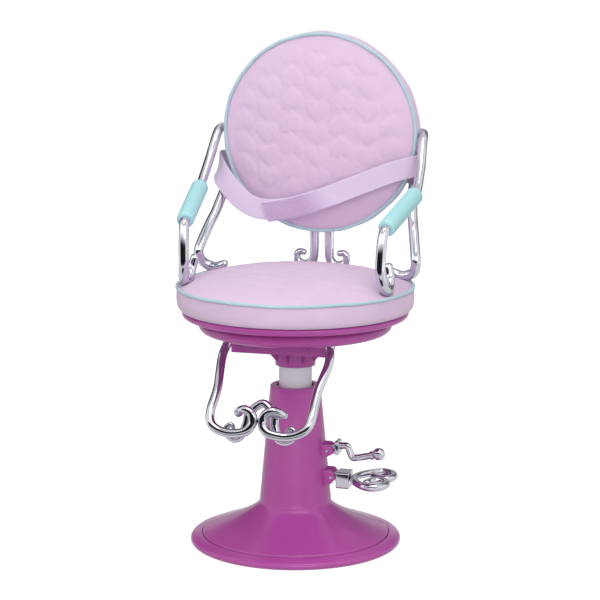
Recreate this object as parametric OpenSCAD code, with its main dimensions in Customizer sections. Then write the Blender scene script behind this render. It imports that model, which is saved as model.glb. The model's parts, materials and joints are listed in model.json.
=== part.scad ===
// Doll-size salon styling chair: a round padded seat and back on a flared pedestal.
// Millimetres, +Z up, origin at the middle of the base's underside.
// The chair faces -Y, and the height lever and pump pedal point along +X.

/* [Base] */
// Outer radius of the base ring
base_r = 85; // [80:0.5:95]
// Height of the ledge on which the flare stands
ring_h = 8; // [7:0.5:10]
// Radius of the rounding on the ring's outer edge
ring_edge_r = 3; // [2:0.25:3.5]
// Radius of the flare's lower edge
flare_r = 75; // [72:0.5:78]
// Upright lip of the flare above the ring
flare_lip_h = 1.2; // [0.8:0.1:2]
// How strongly the flare sweeps in towards the column
flare_sweep = 1.5; // [1.2:0.05:2.2]
// Radius of the plate that closes the base from below
plate_r = 68; // [64:0.5:70]
// Thickness of that plate
plate_t = 2; // [1.5:0.25:3]
// Radius of the circle on which the base screws stand
base_screw_circle_r = 48; // [42:0.5:54]

/* [Column] */
// Radius of the column where the flare begins
column_foot_r = 29; // [28:0.25:32]
// Height of that place above the floor
column_foot_z = 34; // [30:0.5:38]
// Radius of the column at its collar
collar_r = 20.2; // [19.5:0.1:22]
// Height of the collar's top
column_h = 129.5; // [124:0.5:136]
// Wall of the pedestal
shell_t = 2.4; // [2:0.1:2.8]
// Thickness of the collar's top
collar_t = 4; // [3:0.25:6]

/* [Lift] */
// Outer radius of the lift tube
tube_r = 13.3; // [12.5:0.1:13.8]
// Wall of the lift tube
tube_t = 2; // [1.5:0.1:2.5]
// Length of lift tube that shows below the seat
tube_show = 16.5; // [14:0.5:22]
// Upward travel of the seat from the pose shown
lift_up = 28; // [20:1:30]
// Height of the guide sleeve's lower end
guide_z = 50; // [48:0.5:54]
// Wall of the guide bush
bush_t = 1.6; // [1.4:0.1:2]
// Wall of the sleeve that holds the bush
sleeve_t = 1.6; // [1.4:0.1:2]
// Depth of the bush below the collar's top
bush_recess = 3; // [2:0.5:6]
// Height of the friction ring under the bush
friction_h = 5; // [3:0.5:8]
// Thickness of the tube foot's flange
foot_t = 3; // [2:0.25:4]
// Radius of the swivel spindle
spindle_r = 5; // [4:0.25:6]

/* [Swivel bracket] */
// Outer radius of the hub
hub_r = 16.2; // [15.8:0.1:18]
// Height of the hub below the bracket
hub_h = 15; // [13:0.5:20]
// Depth of the hub's socket over the tube
hub_socket = 11; // [9:0.5:11]
// Radius that the ribs reach under the bracket
rib_reach = 26; // [24:0.5:27]
// Thickness of each rib
rib_t = 2; // [1.5:0.25:3]
// Width of the bracket at its front edge
bracket_w = 83; // [80:0.5:86]
// Width of the bracket at its rear edge
bracket_rear_w = 54; // [52:0.5:60]
// Distance of the front edge from the axis
bracket_front = 38.5; // [37:0.5:40]
// Distance of the rear edge from the axis
bracket_rear = 27; // [26:0.5:30]
// Height of the bracket
bracket_h = 13; // [12:0.5:16]
// Wall and floor of the bracket
bracket_t = 2.6; // [2:0.1:3.2]

/* [Seat] */
// Radius of the pan's flat bottom
pan_bottom_r = 71; // [70:0.5:72]
// Largest radius of the pan's lower tier
pan_belly_r = 77.4; // [76.5:0.1:80]
// Height of the pan's lower tier
pan_low_h = 12; // [11:0.5:16]
// How far the pan's flange stays inside the cushion's widest place
pan_flange_in = 4.5; // [3:0.25:7]
// Thickness of the pan's flange
pan_flange_h = 6; // [5:0.25:8]
// Wall of the pan
pan_t = 2.6; // [2:0.1:3]
// Largest radius of the seat cushion
cushion_r = 95; // [92:0.5:98]
// Height of the cushion's side, up to the piping
cushion_side_h = 18; // [16:0.5:24]
// How far the cushion's side draws in at the bottom
cushion_tuck = 2.4; // [1.5:0.1:2.8]
// Height of the cushion's crown above the piping
cushion_crown = 12.5; // [9:0.5:16]
// Thickness of the board inside the seat
seat_board_t = 4; // [3:0.5:6]
// Radius of the piping cord
piping_r = 1.4; // [1.1:0.1:2]

/* [Back] */
// Radius of the back cushion at its piping
back_r = 80.5; // [78:0.5:82]
// How far the back cushion's side swells beyond the piping
back_swell = 2; // [1:0.25:3]
// Thickness of the back cushion's side
back_t = 18; // [16:0.5:24]
// Height of the front crown
back_crown = 8; // [5:0.5:9]
// Height of the rear crown
back_rear_crown = 2.5; // [1:0.25:4]
// Height of the back cushion's middle above the seat piping
back_rise = 114; // [112:0.5:118]
// Distance of the front piping behind the seat's axis
back_y = 70; // [69:0.5:72]
// Radius of the board inside the back
back_board_r = 70; // [66:0.5:72]
// Thickness of that board
back_board_t = 7; // [6:0.5:9]

/* [Chrome frame] */
// Radius of the arm and leg tubes
frame_r = 4.2; // [3.8:0.1:4.4]
// Radius of the curled feet of the back posts
curl_r = 3.5; // [3.2:0.1:3.7]
// Radius of the frame's tapered tips
tip_r = 2.6; // [2.2:0.1:2.8]
// Radius of the footrest tubes
footrest_r = 3.6; // [3.2:0.1:3.7]
// Radius of the pegs that hold the frame
peg_r = 1.8; // [1.4:0.1:2]
// Depth to which a foot presses into the cushion
foot_sink = 3; // [2:0.25:3.5]
// Radius of the arm grips
grip_r = 7; // [6.4:0.1:7.6]
// Length of the arm grips
grip_len = 66; // [60:0.5:67]
// Half the distance between the footrest's side tubes
footrest_x = 41.2; // [40.5:0.1:43]
// Distance of those tubes in front of the seat's axis
footrest_y = 47.8; // [47:0.1:50]

/* [Levers] */
// Height of the lever's pivot
lever_z = 78; // [75:0.5:82]
// Distance of the lever's pivot from the column's axis
lever_x = 28.2; // [28:0.1:29.5]
// Half the height of the lever's clevis ears
lever_ear_h = 5; // [4.6:0.1:5.4]
// How far those ears reach beyond their pin
lever_nose = 5; // [4.6:0.1:5.4]
// Radius of the lever's rod
lever_rod_r = 2.8; // [2.4:0.1:3]
// Radius of the lever's ball
ball_r = 5.1; // [4.5:0.1:6]
// Height of the pedal's pivot
pedal_z = 56.3; // [54:0.5:58]
// Distance of the pedal's pivot from the column's axis
pedal_x = 31.4; // [31:0.1:32]
// Half the height of the pedal's clevis ears
pedal_ear_h = 5.8; // [5.4:0.1:6.2]
// How far those ears reach beyond their pin
pedal_nose = 3.4; // [3.2:0.1:3.8]
// Length of the pedal's heart, along X
pedal_len = 29; // [27:0.5:34]
// Half width of the pedal's heart, to the tube's middle
pedal_half_w = 25; // [23:0.5:28]
// Radius of the pedal's tube
pedal_tube_r = 3.1; // [2.8:0.1:3.3]
// Thickness of each clevis ear
ear_t = 3; // [2.5:0.25:3.5]
// Half the gap between two clevis ears
ear_gap = 4.4; // [4:0.1:5]
// Radius of the pivot pins
pin_r = 1.2; // [1:0.1:1.4]

/* [Belt] */
// Width of the belt
belt_w = 17; // [15:0.5:18]
// Thickness of the belt
belt_t = 1; // [0.8:0.1:1.2]

/* [Fits] */
// Radial clearance of a running shaft
run_gap = 0.06; // [0.03:0.01:0.1]
// Radial clearance of a fixed peg, pin or plug
fix_gap = 0.1; // [0.05:0.05:0.2]
// Distance between faces that must not rub
free_gap = 0.3; // [0.2:0.05:0.5]
// Distance between a soft piece and what it lies on
soft_gap = 0.2; // [0.1:0.05:0.4]

/* [Hidden] */
$fn = 96;

orchid = [0.68, 0.31, 0.62];
lilac = [0.86, 0.74, 0.87];
mint = [0.70, 0.88, 0.90];
chrome = [0.86, 0.86, 0.90];
grey = [0.75, 0.75, 0.78];
steel = [0.55, 0.56, 0.60];

// Heights of the stack, from the floor up
hub_z = column_h + tube_show;
bracket_z = hub_z + hub_h;
pan_z = bracket_z + bracket_h;
flange_z = pan_z + pan_low_h;
pan_top = flange_z + pan_flange_h;
cushion_z = pan_top + soft_gap;
seam_z = cushion_z + cushion_side_h;
back_z = seam_z + back_rise;
back_mid_y = back_y + back_t / 2;

// Radii of the lift, from the tube outwards
bush_in_r = tube_r + run_gap;
bush_out_r = bush_in_r + bush_t;
guide_r = bush_out_r + fix_gap;
sleeve_r = guide_r + sleeve_t;
lip_r = tube_r + 2 * free_gap;
lip_t = 2.5;
tube_bottom = guide_z - lift_up;
tube_top = hub_z + hub_socket - free_gap;
plug_depth = 10;
spindle_top = bracket_z + free_gap;
washer_t = 1.2;
washer_r = spindle_r + 3.2;
screw_r = 1.5;
screw_head_r = 3;
screw_head_t = 2;
boss_r = screw_r + 2.2;

// The seat's edge, and where the frame's feet stand on it
cushion_seam_r = cushion_r - 1;
seat_board_r = cushion_r - 4.4;
foot_r = seat_board_r - peg_r - 1.4;
back_side_r = back_r + back_swell;
board_clear = soft_gap;
round_steps = 12;
tube_sides = 10;
ring_steps = 5;

// Height of the seat cushion's top at radius r
function seat_top(r) = seam_z + cushion_crown * (1 - pow(min(r, cushion_seam_r) / cushion_seam_r, 3));

// Points of an arc in the plane
function arc(c, r, a0, a1, n) =
    [for (i = [0:n]) let (a = mix(a0, a1, i / n)) c + r * [cos(a), sin(a)]];

// Point between b and c on a smooth curve through a, b, c and d
function spline(a, b, c, d, t) =
    0.5 * (2 * b + (c - a) * t + (2 * a - 5 * b + 4 * c - d) * t * t + (3 * b - a - 3 * c + d) * t * t * t);

// A smooth curve through a list of points, with n steps between neighbours
function smooth(p, n = ring_steps) = let (m = len(p) - 1) concat(
    [for (i = [0:m - 1]) for (s = [0:n - 1])
        spline(i == 0 ? 2 * p[0] - p[1] : p[i - 1], p[i], p[i + 1],
               i == m - 1 ? 2 * p[m] - p[m - 1] : p[i + 2], s / n)],
    [p[m]]);

function unit(v) = v / norm(v);
function along(p, i) = unit(p[min(i + 1, len(p) - 1)] - p[max(i - 1, 0)]);
function across(v, t) = unit(v - (v * t) * t);
function any_side(t) = across(abs(t.x) < 0.7 ? [1, 0, 0] : [0, 1, 0], t);

// Side vectors carried along a path without twist
function sides_along(p, i = 0, out = []) = i == len(p) ? out :
    sides_along(p, i + 1, concat(out, [across(i == 0 ? any_side(along(p, 0)) : out[i - 1], along(p, i))]));

function flip(p) = [for (v = p) [-v.x, v.y, v.z]];
function mix(a, b, t) = a + (b - a) * t;

// Closed skin over a list of equal rings of points
module skin(rings) {
    n = len(rings[0]);
    m = len(rings);
    polyhedron(
        points = [for (r = rings) each r],
        faces = concat(
            [[for (k = [0:n - 1]) k]],
            [[for (k = [n - 1:-1:0]) (m - 1) * n + k]],
            [for (i = [0:m - 2]) for (k = [0:n - 1])
                [i * n + k, (i + 1) * n + k, (i + 1) * n + (k + 1) % n]],
            [for (i = [0:m - 2]) for (k = [0:n - 1])
                [i * n + k, (i + 1) * n + (k + 1) % n, i * n + (k + 1) % n]]));
}

// Round tube along path p with a radius for each point, and a dome on each end that asks for one
module tube(p, radii, dome_start = false, dome_end = false) {
    m = len(p) - 1;
    s = sides_along(p);
    t0 = along(p, 0);
    t1 = along(p, m);
    dome = [72, 48, 24];
    first = dome_start ? [for (a = dome) [p[0] - t0 * radii[0] * sin(a), radii[0] * cos(a), s[0], t0]] : [];
    last = dome_end ? [for (i = [2:-1:0]) let (a = dome[i])
        [p[m] + t1 * radii[m] * sin(a), radii[m] * cos(a), s[m], t1]] : [];
    stations = concat(first, [for (i = [0:m]) [p[i], radii[i], s[i], along(p, i)]], last);
    skin([for (q = stations) [for (k = [0:tube_sides - 1])
        let (a = 360 * k / tube_sides) q[0] + q[1] * (cos(a) * q[2] + sin(a) * cross(q[3], q[2]))]]);
}

// Line p with its sharpest turns evened out n times
function relaxed(p, n) = n == 0 ? p : relaxed(
    [for (i = [0:len(p) - 1])
        i == 0 || i == len(p) - 1 ? p[i] : (p[i - 1] + 2 * p[i] + p[i + 1]) / 4], n - 1);

function even(p, r) = [for (v = p) r];
function taper(p, r0, r1) = [for (i = [0:len(p) - 1]) mix(r0, r1, i / (len(p) - 1))];

// Radii that swell from a tip over the first n points, and then taper
function swelled(p, tip, full, last, n) =
    [for (i = [0:len(p) - 1])
        i < n ? mix(tip, full, sin(90 * i / n)) : mix(full, last, (i - n) / (len(p) - 1 - n))];

// Radii that swell from a tip at each end
function tipped(p, tip, full, n) =
    [for (i = [0:len(p) - 1]) mix(tip, full, min(1, min(i, len(p) - 1 - i) / n))];

// Copies of a child at equal steps round the Z axis
module round_z(count, phase = 0) {
    for (i = [0:count - 1])
        rotate(phase + i * 360 / count)
            children();
}

// Countersunk screw standing on z = 0 with its shank up
module screw(length) {
    cylinder(h = screw_head_t, r = screw_head_r);
    translate([0, 0, screw_head_t])
        cylinder(h = length, r = screw_r);
}

// Room for a screw and its head, from below
module screw_hole(length, deep) {
    translate([0, 0, -deep])
        cylinder(h = deep + screw_head_t, r = screw_head_r + fix_gap);
    cylinder(h = screw_head_t + length, r = screw_r + fix_gap);
}

// Outline of the pedestal's outside, from the flare's edge up to the collar
flare_z = ring_h + flare_lip_h;
flare_n = 16;
function flare_at(t) = [column_foot_r + (flare_r - column_foot_r) * pow(1 - t, flare_sweep),
                        flare_z + (column_foot_z - flare_z) * t];
function column_at(z) = mix(column_foot_r, collar_r, (z - column_foot_z) / (column_h - column_foot_z));
collar_edge = 0.8;
pedestal_outside = concat(
    [[flare_r, ring_h]],
    [for (i = [0:flare_n]) flare_at(i / flare_n)],
    arc([collar_r - collar_edge, column_h - collar_edge], collar_edge, 0, 90, 4));
flange_in_r = plate_r - 6;
pedestal_inside = concat(
    [[flange_in_r, ring_h]],
    [for (i = [4:flare_n]) flare_at(i / flare_n) - [shell_t, shell_t * (1 - i / flare_n)]],
    [[column_at(column_h - collar_t) - shell_t, column_h - collar_t]]);

ear_slope = 0.45;
lug_r = pedal_nose - free_gap / 2;

// Distance that the corners of an ear reach from its pin
function ear_reach(nose) = nose * norm([1, ear_slope]);

// Two plates with a blunt nose, standing out of the column
module clevis_ears(x, z, half, nose) {
    root = column_at(z) - shell_t - x;
    for (side = [-1, 1])
        translate([x, side * (ear_gap + ear_t / 2) + ear_t / 2, z])
            rotate([90, 0, 0])
                linear_extrude(ear_t)
                    polygon([[root, -half], [0, -half], [nose, -ear_slope * nose],
                             [nose, ear_slope * nose], [0, half], [root, half]]);
}

// Room for a lug between two ears, and the hole for its pin
module clevis_cut(x, z) {
    translate([x, 0, z])
        rotate([90, 0, 0]) {
            translate([0, 0, -ear_gap])
                cylinder(h = 2 * ear_gap, r = lug_r + 2 * free_gap);
            translate([0, 0, -ear_gap - 2 * ear_t])
                cylinder(h = 2 * ear_gap + 4 * ear_t, r = pin_r + fix_gap);
        }
}

base_boss_top = flare_at(0.4).y;

// Flared pedestal with its column, guide sleeve, screw bosses and two pairs of ears
module pedestal() color(orchid) difference() {
    union() {
        difference() {
            union() {
                rotate_extrude()
                    polygon(concat(pedestal_outside, [[0, column_h], [0, ring_h]]));
                clevis_ears(lever_x, lever_z, lever_ear_h, lever_nose);
                clevis_ears(pedal_x, pedal_z, pedal_ear_h, pedal_nose);
            }
            rotate_extrude()
                polygon(concat(pedestal_inside, [[0, column_h - collar_t], [0, ring_h]]));
        }
        translate([0, 0, guide_z])
            cylinder(h = column_h - collar_t / 2 - guide_z, r = sleeve_r);
        round_z(4, 45)
            translate([base_screw_circle_r, 0, plate_t])
                cylinder(h = base_boss_top - plate_t, r = boss_r);
    }
    translate([0, 0, guide_z - 1])
        cylinder(h = column_h - guide_z + 2, r = lip_r);
    translate([0, 0, guide_z + lip_t])
        cylinder(h = column_h - guide_z, r = guide_r);
    round_z(4, 45)
        translate([base_screw_circle_r, 0, plate_t - 1])
            cylinder(h = base_screw_len + 1 + free_gap, r = screw_r + fix_gap);
    clevis_cut(lever_x, lever_z);
    clevis_cut(pedal_x, pedal_z);
}

ring_outline = concat(
    [[plate_r + fix_gap, 0]],
    arc([base_r - ring_edge_r, ring_edge_r], ring_edge_r, -90, 50, round_steps),
    [[flare_r - free_gap, ring_h], [flange_in_r, ring_h],
     [flange_in_r, plate_t], [plate_r + fix_gap, plate_t]]);

// Ring on which the flare stands
module base_ring() color(orchid)
    rotate_extrude()
        polygon(ring_outline);

base_screw_len = 6;
base_screw_z = 0.4;

// Plate that closes the base from below
module base_plate() color(orchid) difference() {
    cylinder(h = plate_t, r = plate_r);
    round_z(4, 45)
        translate([base_screw_circle_r, 0, -1]) {
            cylinder(h = plate_t + 2, r = screw_r + fix_gap);
            cylinder(h = 1 + plate_t / 2, r = screw_head_r + fix_gap);
        }
}

// Screws that hold the plate to the pedestal
module base_screws() color(steel)
    round_z(4, 45)
        translate([base_screw_circle_r, 0, base_screw_z]) {
            cylinder(h = plate_t / 2 - base_screw_z, r = screw_head_r);
            cylinder(h = plate_t - base_screw_z + base_screw_len, r = screw_r);
        }

bush_z = guide_z + lip_t + friction_h;

// Sleeve in which the lift tube slides
module guide_bush() color(grey)
    translate([0, 0, bush_z])
        difference() {
            cylinder(h = column_h - bush_recess - bush_z, r = bush_out_r);
            translate([0, 0, -1])
                cylinder(h = column_h, r = bush_in_r);
        }

// Ring that grips the lift tube and holds it at any height
module friction_ring() color(steel)
    translate([0, 0, guide_z + lip_t])
        difference() {
            cylinder(h = friction_h - soft_gap, r = bush_out_r);
            translate([0, 0, -1])
                cylinder(h = friction_h + 2, r = bush_in_r);
        }

pin_proud = 0.2;

// Pivot pin whose ends stand a little proud of the ears
module pivot_pin(x, z) color(steel)
    translate([x, ear_gap + ear_t + pin_proud, z])
        rotate([90, 0, 0])
            cylinder(h = 2 * (ear_gap + ear_t + pin_proud), r = pin_r);

module lever_pin() pivot_pin(lever_x, lever_z);
module pedal_pin() pivot_pin(pedal_x, pedal_z);

// Grey tube that rises out of the column
module lift_tube() color(grey)
    translate([0, 0, tube_bottom])
        difference() {
            cylinder(h = tube_top - tube_bottom, r = tube_r);
            translate([0, 0, -1])
                cylinder(h = tube_top - tube_bottom + 2, r = tube_r - tube_t);
        }

// Foot of the tube, whose flange stops it under the guide sleeve
module tube_foot() color(steel) {
    translate([0, 0, tube_bottom - foot_t])
        cylinder(h = foot_t, r = guide_r);
    translate([0, 0, tube_bottom])
        cylinder(h = plug_depth, r = tube_r - tube_t - fix_gap);
}

// Plug in the top of the tube, with the spindle that the seat turns on
module swivel_spindle() color(steel) difference() {
    union() {
        translate([0, 0, tube_top - plug_depth])
            cylinder(h = plug_depth, r = tube_r - tube_t - fix_gap);
        translate([0, 0, tube_top])
            cylinder(h = spindle_top - tube_top, r = spindle_r);
    }
    translate([0, 0, tube_top - plug_depth / 2])
        cylinder(h = spindle_top, r = screw_r + fix_gap);
}

// Washer over the hub's floor
module swivel_washer() color(steel)
    translate([0, 0, spindle_top])
        difference() {
            cylinder(h = washer_t, r = washer_r);
            translate([0, 0, -1])
                cylinder(h = washer_t + 2, r = screw_r + fix_gap);
        }

// Screw that holds the washer on the spindle
module swivel_screw() color(steel) {
    translate([0, 0, spindle_top + washer_t])
        cylinder(h = screw_head_t, r = screw_head_r);
    translate([0, 0, tube_top - plug_depth / 2 + free_gap])
        cylinder(h = spindle_top + washer_t - tube_top + plug_depth / 2 - free_gap, r = screw_r);
}

bracket_screw_len = bracket_h + 6;
bracket_screw_in = bracket_t + boss_r + 1;
tab_w = 9;
tab_t = 1.2;
tab_h = 3.4;
tab_x = [-27, 17];
rib_phase = 38.5;
rib_count = 8;
rib_start = 3;

// Half width of the bracket at a place along Y
function bracket_half(y) =
    mix(bracket_w, bracket_rear_w, (y + bracket_front) / (bracket_front + bracket_rear)) / 2;

// Plan of the bracket, drawn in by t on every side
module bracket_plan(t) {
    front = t - bracket_front;
    rear = bracket_rear - t;
    polygon([[-bracket_half(front) + t, front], [bracket_half(front) - t, front],
             [bracket_half(rear) - t, rear], [-bracket_half(rear) + t, rear]]);
}

module bracket_corners() {
    for (x = [-1, 1])
        for (y = [bracket_screw_in - bracket_front, bracket_rear - bracket_screw_in])
            translate([x * (bracket_half(y) - bracket_screw_in), y, 0])
                children();
}

// Tray under the pan with the ribbed hub that turns on the spindle
module swivel_bracket() color(orchid) difference() {
    union() {
        difference() {
            translate([0, 0, bracket_z])
                linear_extrude(bracket_h)
                    bracket_plan(0);
            translate([0, 0, bracket_z + bracket_t])
                linear_extrude(bracket_h)
                    bracket_plan(bracket_t);
        }
        translate([0, 0, bracket_z])
            bracket_corners()
                cylinder(h = bracket_h, r = boss_r);
        translate([0, 0, hub_z])
            cylinder(h = hub_h + bracket_t / 2, r = hub_r);
        round_z(rib_count, rib_phase)
            rotate([90, 0, 0])
                translate([0, 0, -rib_t / 2])
                    linear_extrude(rib_t)
                        polygon([[hub_r - 1, hub_z + rib_start], [hub_r, hub_z + rib_start],
                                 [rib_reach, bracket_z], [rib_reach, bracket_z + bracket_t / 2],
                                 [hub_r - 1, bracket_z + bracket_t / 2]]);
        for (x = tab_x)
            translate([x - tab_w / 2, -bracket_front - tab_t, bracket_z + bracket_h / 2 - tab_h])
                cube([tab_w, tab_t + bracket_t, tab_h]);
    }
    translate([0, 0, hub_z - 1])
        cylinder(h = hub_socket + 1, r = tube_r + free_gap);
    translate([0, 0, hub_z])
        cylinder(h = hub_h + 1, r = spindle_r + run_gap);
    translate([0, 0, bracket_z])
        cylinder(h = bracket_h, r = washer_r + 2 * free_gap);
    translate([0, 0, bracket_z])
        bracket_corners()
            screw_hole(bracket_screw_len, 1);
}

// Screws that hold the bracket to the pan
module bracket_screws() color(steel)
    translate([0, 0, bracket_z])
        bracket_corners()
            screw(bracket_screw_len - free_gap);

pan_flange_r = cushion_r - pan_flange_in;
pan_edge_r = pan_flange_h / 2;
pan_groove = 1.6;
pan_in_r = pan_belly_r - pan_t - 2;
pan_outline = concat(
    [[0, pan_z], [pan_bottom_r, pan_z]],
    [for (a = [-60:20:60]) [pan_bottom_r + (pan_belly_r - pan_bottom_r) * cos(a),
                            pan_z + (pan_low_h - pan_groove) / 2 * (1 + sin(a) / sin(60))]],
    [[pan_belly_r - pan_groove, flange_z - pan_groove], [pan_belly_r - pan_groove, flange_z]],
    arc([pan_flange_r - pan_edge_r, flange_z + pan_edge_r], pan_edge_r, -90, 90, round_steps),
    [[0, pan_top]]);
pan_screw_r = 55;
pan_screw_len = pan_top - pan_z + seat_board_t - screw_head_t - 1;
footrest_socket = 13;

module footrest_places() {
    for (side = [-1, 1])
        translate([side * footrest_x, -footrest_y, pan_z])
            children();
}

// Dish under the cushion, with posts for the seat screws and sockets for the footrest
module seat_pan() color(orchid) difference() {
    union() {
        difference() {
            rotate_extrude()
                polygon(pan_outline);
            translate([0, 0, pan_z + pan_t])
                cylinder(h = pan_top, r = pan_in_r);
        }
        round_z(4)
            translate([pan_screw_r, 0, pan_z])
                cylinder(h = pan_top - pan_z, r = boss_r);
        translate([0, 0, pan_z])
            bracket_corners()
                cylinder(h = bracket_screw_len - bracket_h + screw_head_t + 2, r = boss_r);
        footrest_places()
            cylinder(h = footrest_socket + 2, r = footrest_r + 2.4);
    }
    round_z(4)
        translate([pan_screw_r, 0, pan_z])
            screw_hole(pan_screw_len, 1);
    translate([0, 0, bracket_z])
        bracket_corners()
            cylinder(h = screw_head_t + bracket_screw_len, r = screw_r + fix_gap);
    footrest_places()
        translate([0, 0, -1])
            cylinder(h = footrest_socket + 1, r = footrest_r + fix_gap);
}

// Screws that hold the seat board on the pan
module pan_screws() color(steel)
    translate([0, 0, pan_z])
        round_z(4)
            translate([pan_screw_r, 0, 0])
                screw(pan_screw_len - free_gap);

arm_foot_angle = -20;
leg_foot_angle = 24.3;
post_foot = [14.4, seat_board_r - 11.6];
function foot_at(angle) = [foot_r * cos(angle), foot_r * sin(angle)];
arm_foot = foot_at(arm_foot_angle);
leg_foot = foot_at(leg_foot_angle);

module peg_places() {
    for (side = [-1, 1])
        for (p = [arm_foot, leg_foot, post_foot])
            translate([side * p.x, p.y, 0])
                children();
}

// Stiff board inside the seat, to which the frame is pegged
module seat_board() color(steel)
    translate([0, 0, cushion_z])
        difference() {
            cylinder(h = seat_board_t, r = seat_board_r);
            translate([0, 0, -1])
                peg_places()
                    cylinder(h = seat_board_t + 2, r = peg_r + fix_gap);
            round_z(4)
                translate([pan_screw_r, 0, -1])
                    cylinder(h = seat_board_t + 2, r = screw_r + fix_gap);
        }

crown_n = 12;
seat_outline = concat(
    [[0, cushion_z]],
    [for (i = [0:round_steps]) let (a = i / round_steps)
        [cushion_r - cushion_tuck * pow(1 - a, 2) * (1 - a / 4) - (cushion_r - cushion_seam_r) * pow(a, 4),
         cushion_z + cushion_side_h * a]],
    [for (i = [crown_n:-1:0]) let (r = cushion_seam_r * i / crown_n) if (i < crown_n) [r, seat_top(r)]]);

// Where an arm or leg tube presses into the cushion: a short trough along its foot
module foot_trough(p, angle, r, z, length) {
    translate([p.x, p.y, z])
        rotate([90, 0, angle])
            translate([0, 0, -length / 2])
                cylinder(h = length, r = r + soft_gap + free_gap);
}
arm_trough = 29;
foot_trough_len = 22;
arm_foot_z = seat_top(foot_r) + frame_r - foot_sink;
leg_foot_z = seat_top(foot_r) + frame_r - foot_sink / 2;
post_foot_z = seat_top(norm(post_foot)) + curl_r - 1.5 * foot_sink;

// Padded round seat with its crown and drawn-in side
module seat_cushion() color(lilac) difference() {
    rotate_extrude()
        difference() {
            polygon(seat_outline);
            translate([cushion_seam_r, seam_z])
                circle(r = piping_r + soft_gap);
            translate([0, cushion_z - 1])
                square([seat_board_r + board_clear, seat_board_t + 1 + board_clear]);
        }
    translate([0, 0, cushion_z])
        peg_places()
            cylinder(h = cushion_side_h + cushion_crown, r = peg_r + free_gap);
    for (side = [-1, 1]) {
        foot_trough([side * arm_foot.x, arm_foot.y], 0, frame_r, arm_foot_z, arm_trough);
        foot_trough([side * leg_foot.x, leg_foot.y], 90, frame_r, leg_foot_z, foot_trough_len);
        foot_trough([side * post_foot.x, post_foot.y], 90, frame_r, post_foot_z, foot_trough_len);
    }
}

// Cord sewn round the seat's upper edge
module seat_piping() color(mint)
    translate([0, 0, seam_z])
        rotate_extrude()
            translate([cushion_seam_r, 0])
                circle(r = piping_r);

arm_plug_angle = 1;
leg_plug_angle = -26;
plug_in = 14;
socket_in = 4;
dimple = 1.1;

// Places where the arms, legs and posts plug into the back, with +Z pointing inwards
module plug_places() {
    translate([0, back_mid_y, back_z])
        for (side = [-1, 1])
            for (angle = [arm_plug_angle, leg_plug_angle])
                rotate([0, -angle, 0])
                    mirror([side < 0 ? 1 : 0, 0, 0])
                        rotate([0, side < 0 ? -2 * angle : 0, 0])
                            translate([back_side_r, 0, 0])
                                rotate([0, -90, 0])
                                    children();
}

post_x = 6.4;
post_plug_z = back_z - sqrt(back_side_r * back_side_r - post_x * post_x);

module post_places() {
    for (side = [-1, 1])
        translate([side * post_x, back_mid_y, post_plug_z])
            children();
}

plug_reach = back_side_r - back_board_r + plug_in;

// Stiff board inside the back, into which the frame is plugged
module back_board() color(steel) difference() {
    translate([0, back_mid_y + back_board_t / 2, back_z])
        rotate([90, 0, 0])
            cylinder(h = back_board_t, r = back_board_r);
    plug_places()
        cylinder(h = plug_reach + 1, r = peg_r + fix_gap);
    post_places()
        cylinder(h = plug_reach + 1, r = peg_r + fix_gap);
}

back_side_n = 9;
function back_front(r) = -back_t / 2 - back_crown * (1 - pow(min(r / back_r, 1), 3));
function back_rear(r) = back_t / 2 + back_rear_crown * (1 - pow(min(r / (back_r - 2), 1), 4));

// Half section of the back cushion, with its front towards -y
back_outline = concat(
    [for (i = [0:crown_n - 1]) let (r = back_r * i / crown_n) [r, back_front(r)]],
    [for (i = [0:back_side_n]) let (a = i / back_side_n)
        [back_r + back_swell * sin(180 * pow(a, 0.8)) - 2 * pow(a, 5), back_t * (a - 0.5)]],
    [for (i = [crown_n - 1:-1:0]) let (r = (back_r - 2) * i / crown_n) [r, back_rear(r)]]);

// Room for a tube's end and its peg in the back, with a dimple round the tube
module back_socket() {
    translate([0, 0, -frame_r])
        cylinder(h = frame_r + socket_in + free_gap, r = frame_r + dimple);
    cylinder(h = plug_reach, r = peg_r + free_gap);
}

// Padded round back with its crown and swelled side
module back_cushion() color(lilac) difference() {
    translate([0, back_mid_y, back_z])
        rotate([-90, 0, 0])
            rotate_extrude()
                difference() {
                    polygon(back_outline);
                    translate([back_r, -back_t / 2])
                        circle(r = piping_r + soft_gap);
                }
    translate([0, back_mid_y + back_board_t / 2 + board_clear, back_z])
        rotate([90, 0, 0])
            cylinder(h = back_board_t + 2 * board_clear, r = back_board_r + board_clear);
    plug_places()
        back_socket();
    post_places()
        back_socket();
}

// Cord sewn round the back's front edge
module back_piping() color(mint)
    translate([0, back_y, back_z])
        rotate([90, 0, 0])
            rotate_extrude()
                translate([back_r, 0])
                    circle(r = piping_r);

// Middle line of the right arm: curled foot, straight grip and the bend into the back
arm_base = [arm_foot.x, arm_foot.y, arm_foot_z];
arm_dir = [cos(arm_plug_angle), 0, sin(arm_plug_angle)];
arm_plug = [0, back_mid_y, back_z] + back_side_r * arm_dir;
grip_high = arm_plug + [7.4, -47.2, -43.5];
grip_run = unit(grip_high - arm_base - [-0.4, 0.6, 50]);
grip_low = grip_high - (grip_len + 3.2) * grip_run;
grip_mid = grip_high - (grip_len / 2 + 0.6) * grip_run;
arm_low = [arm_base + [-2.6, 15.6, 17], arm_base + [-0.8, 13.8, 8.6], arm_base + [-0.2, 7.8, 1.8], arm_base,
           arm_base + [-1, -7, 4.6], arm_base + [-2.6, -10.4, 18.3], arm_base + [-2.2, -6.8, 36]];
arm_high = [arm_plug + [7.6, -41.5, -40], arm_plug + [6.4, -24.5, -22.5], arm_plug + [5.2, -15.6, -10.4],
            arm_plug + [4.4, -8.6, -2.6], arm_plug + [3, -3, 0], arm_plug + [-0.6, -0.2, 0],
            arm_plug - socket_in * arm_dir];
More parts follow.
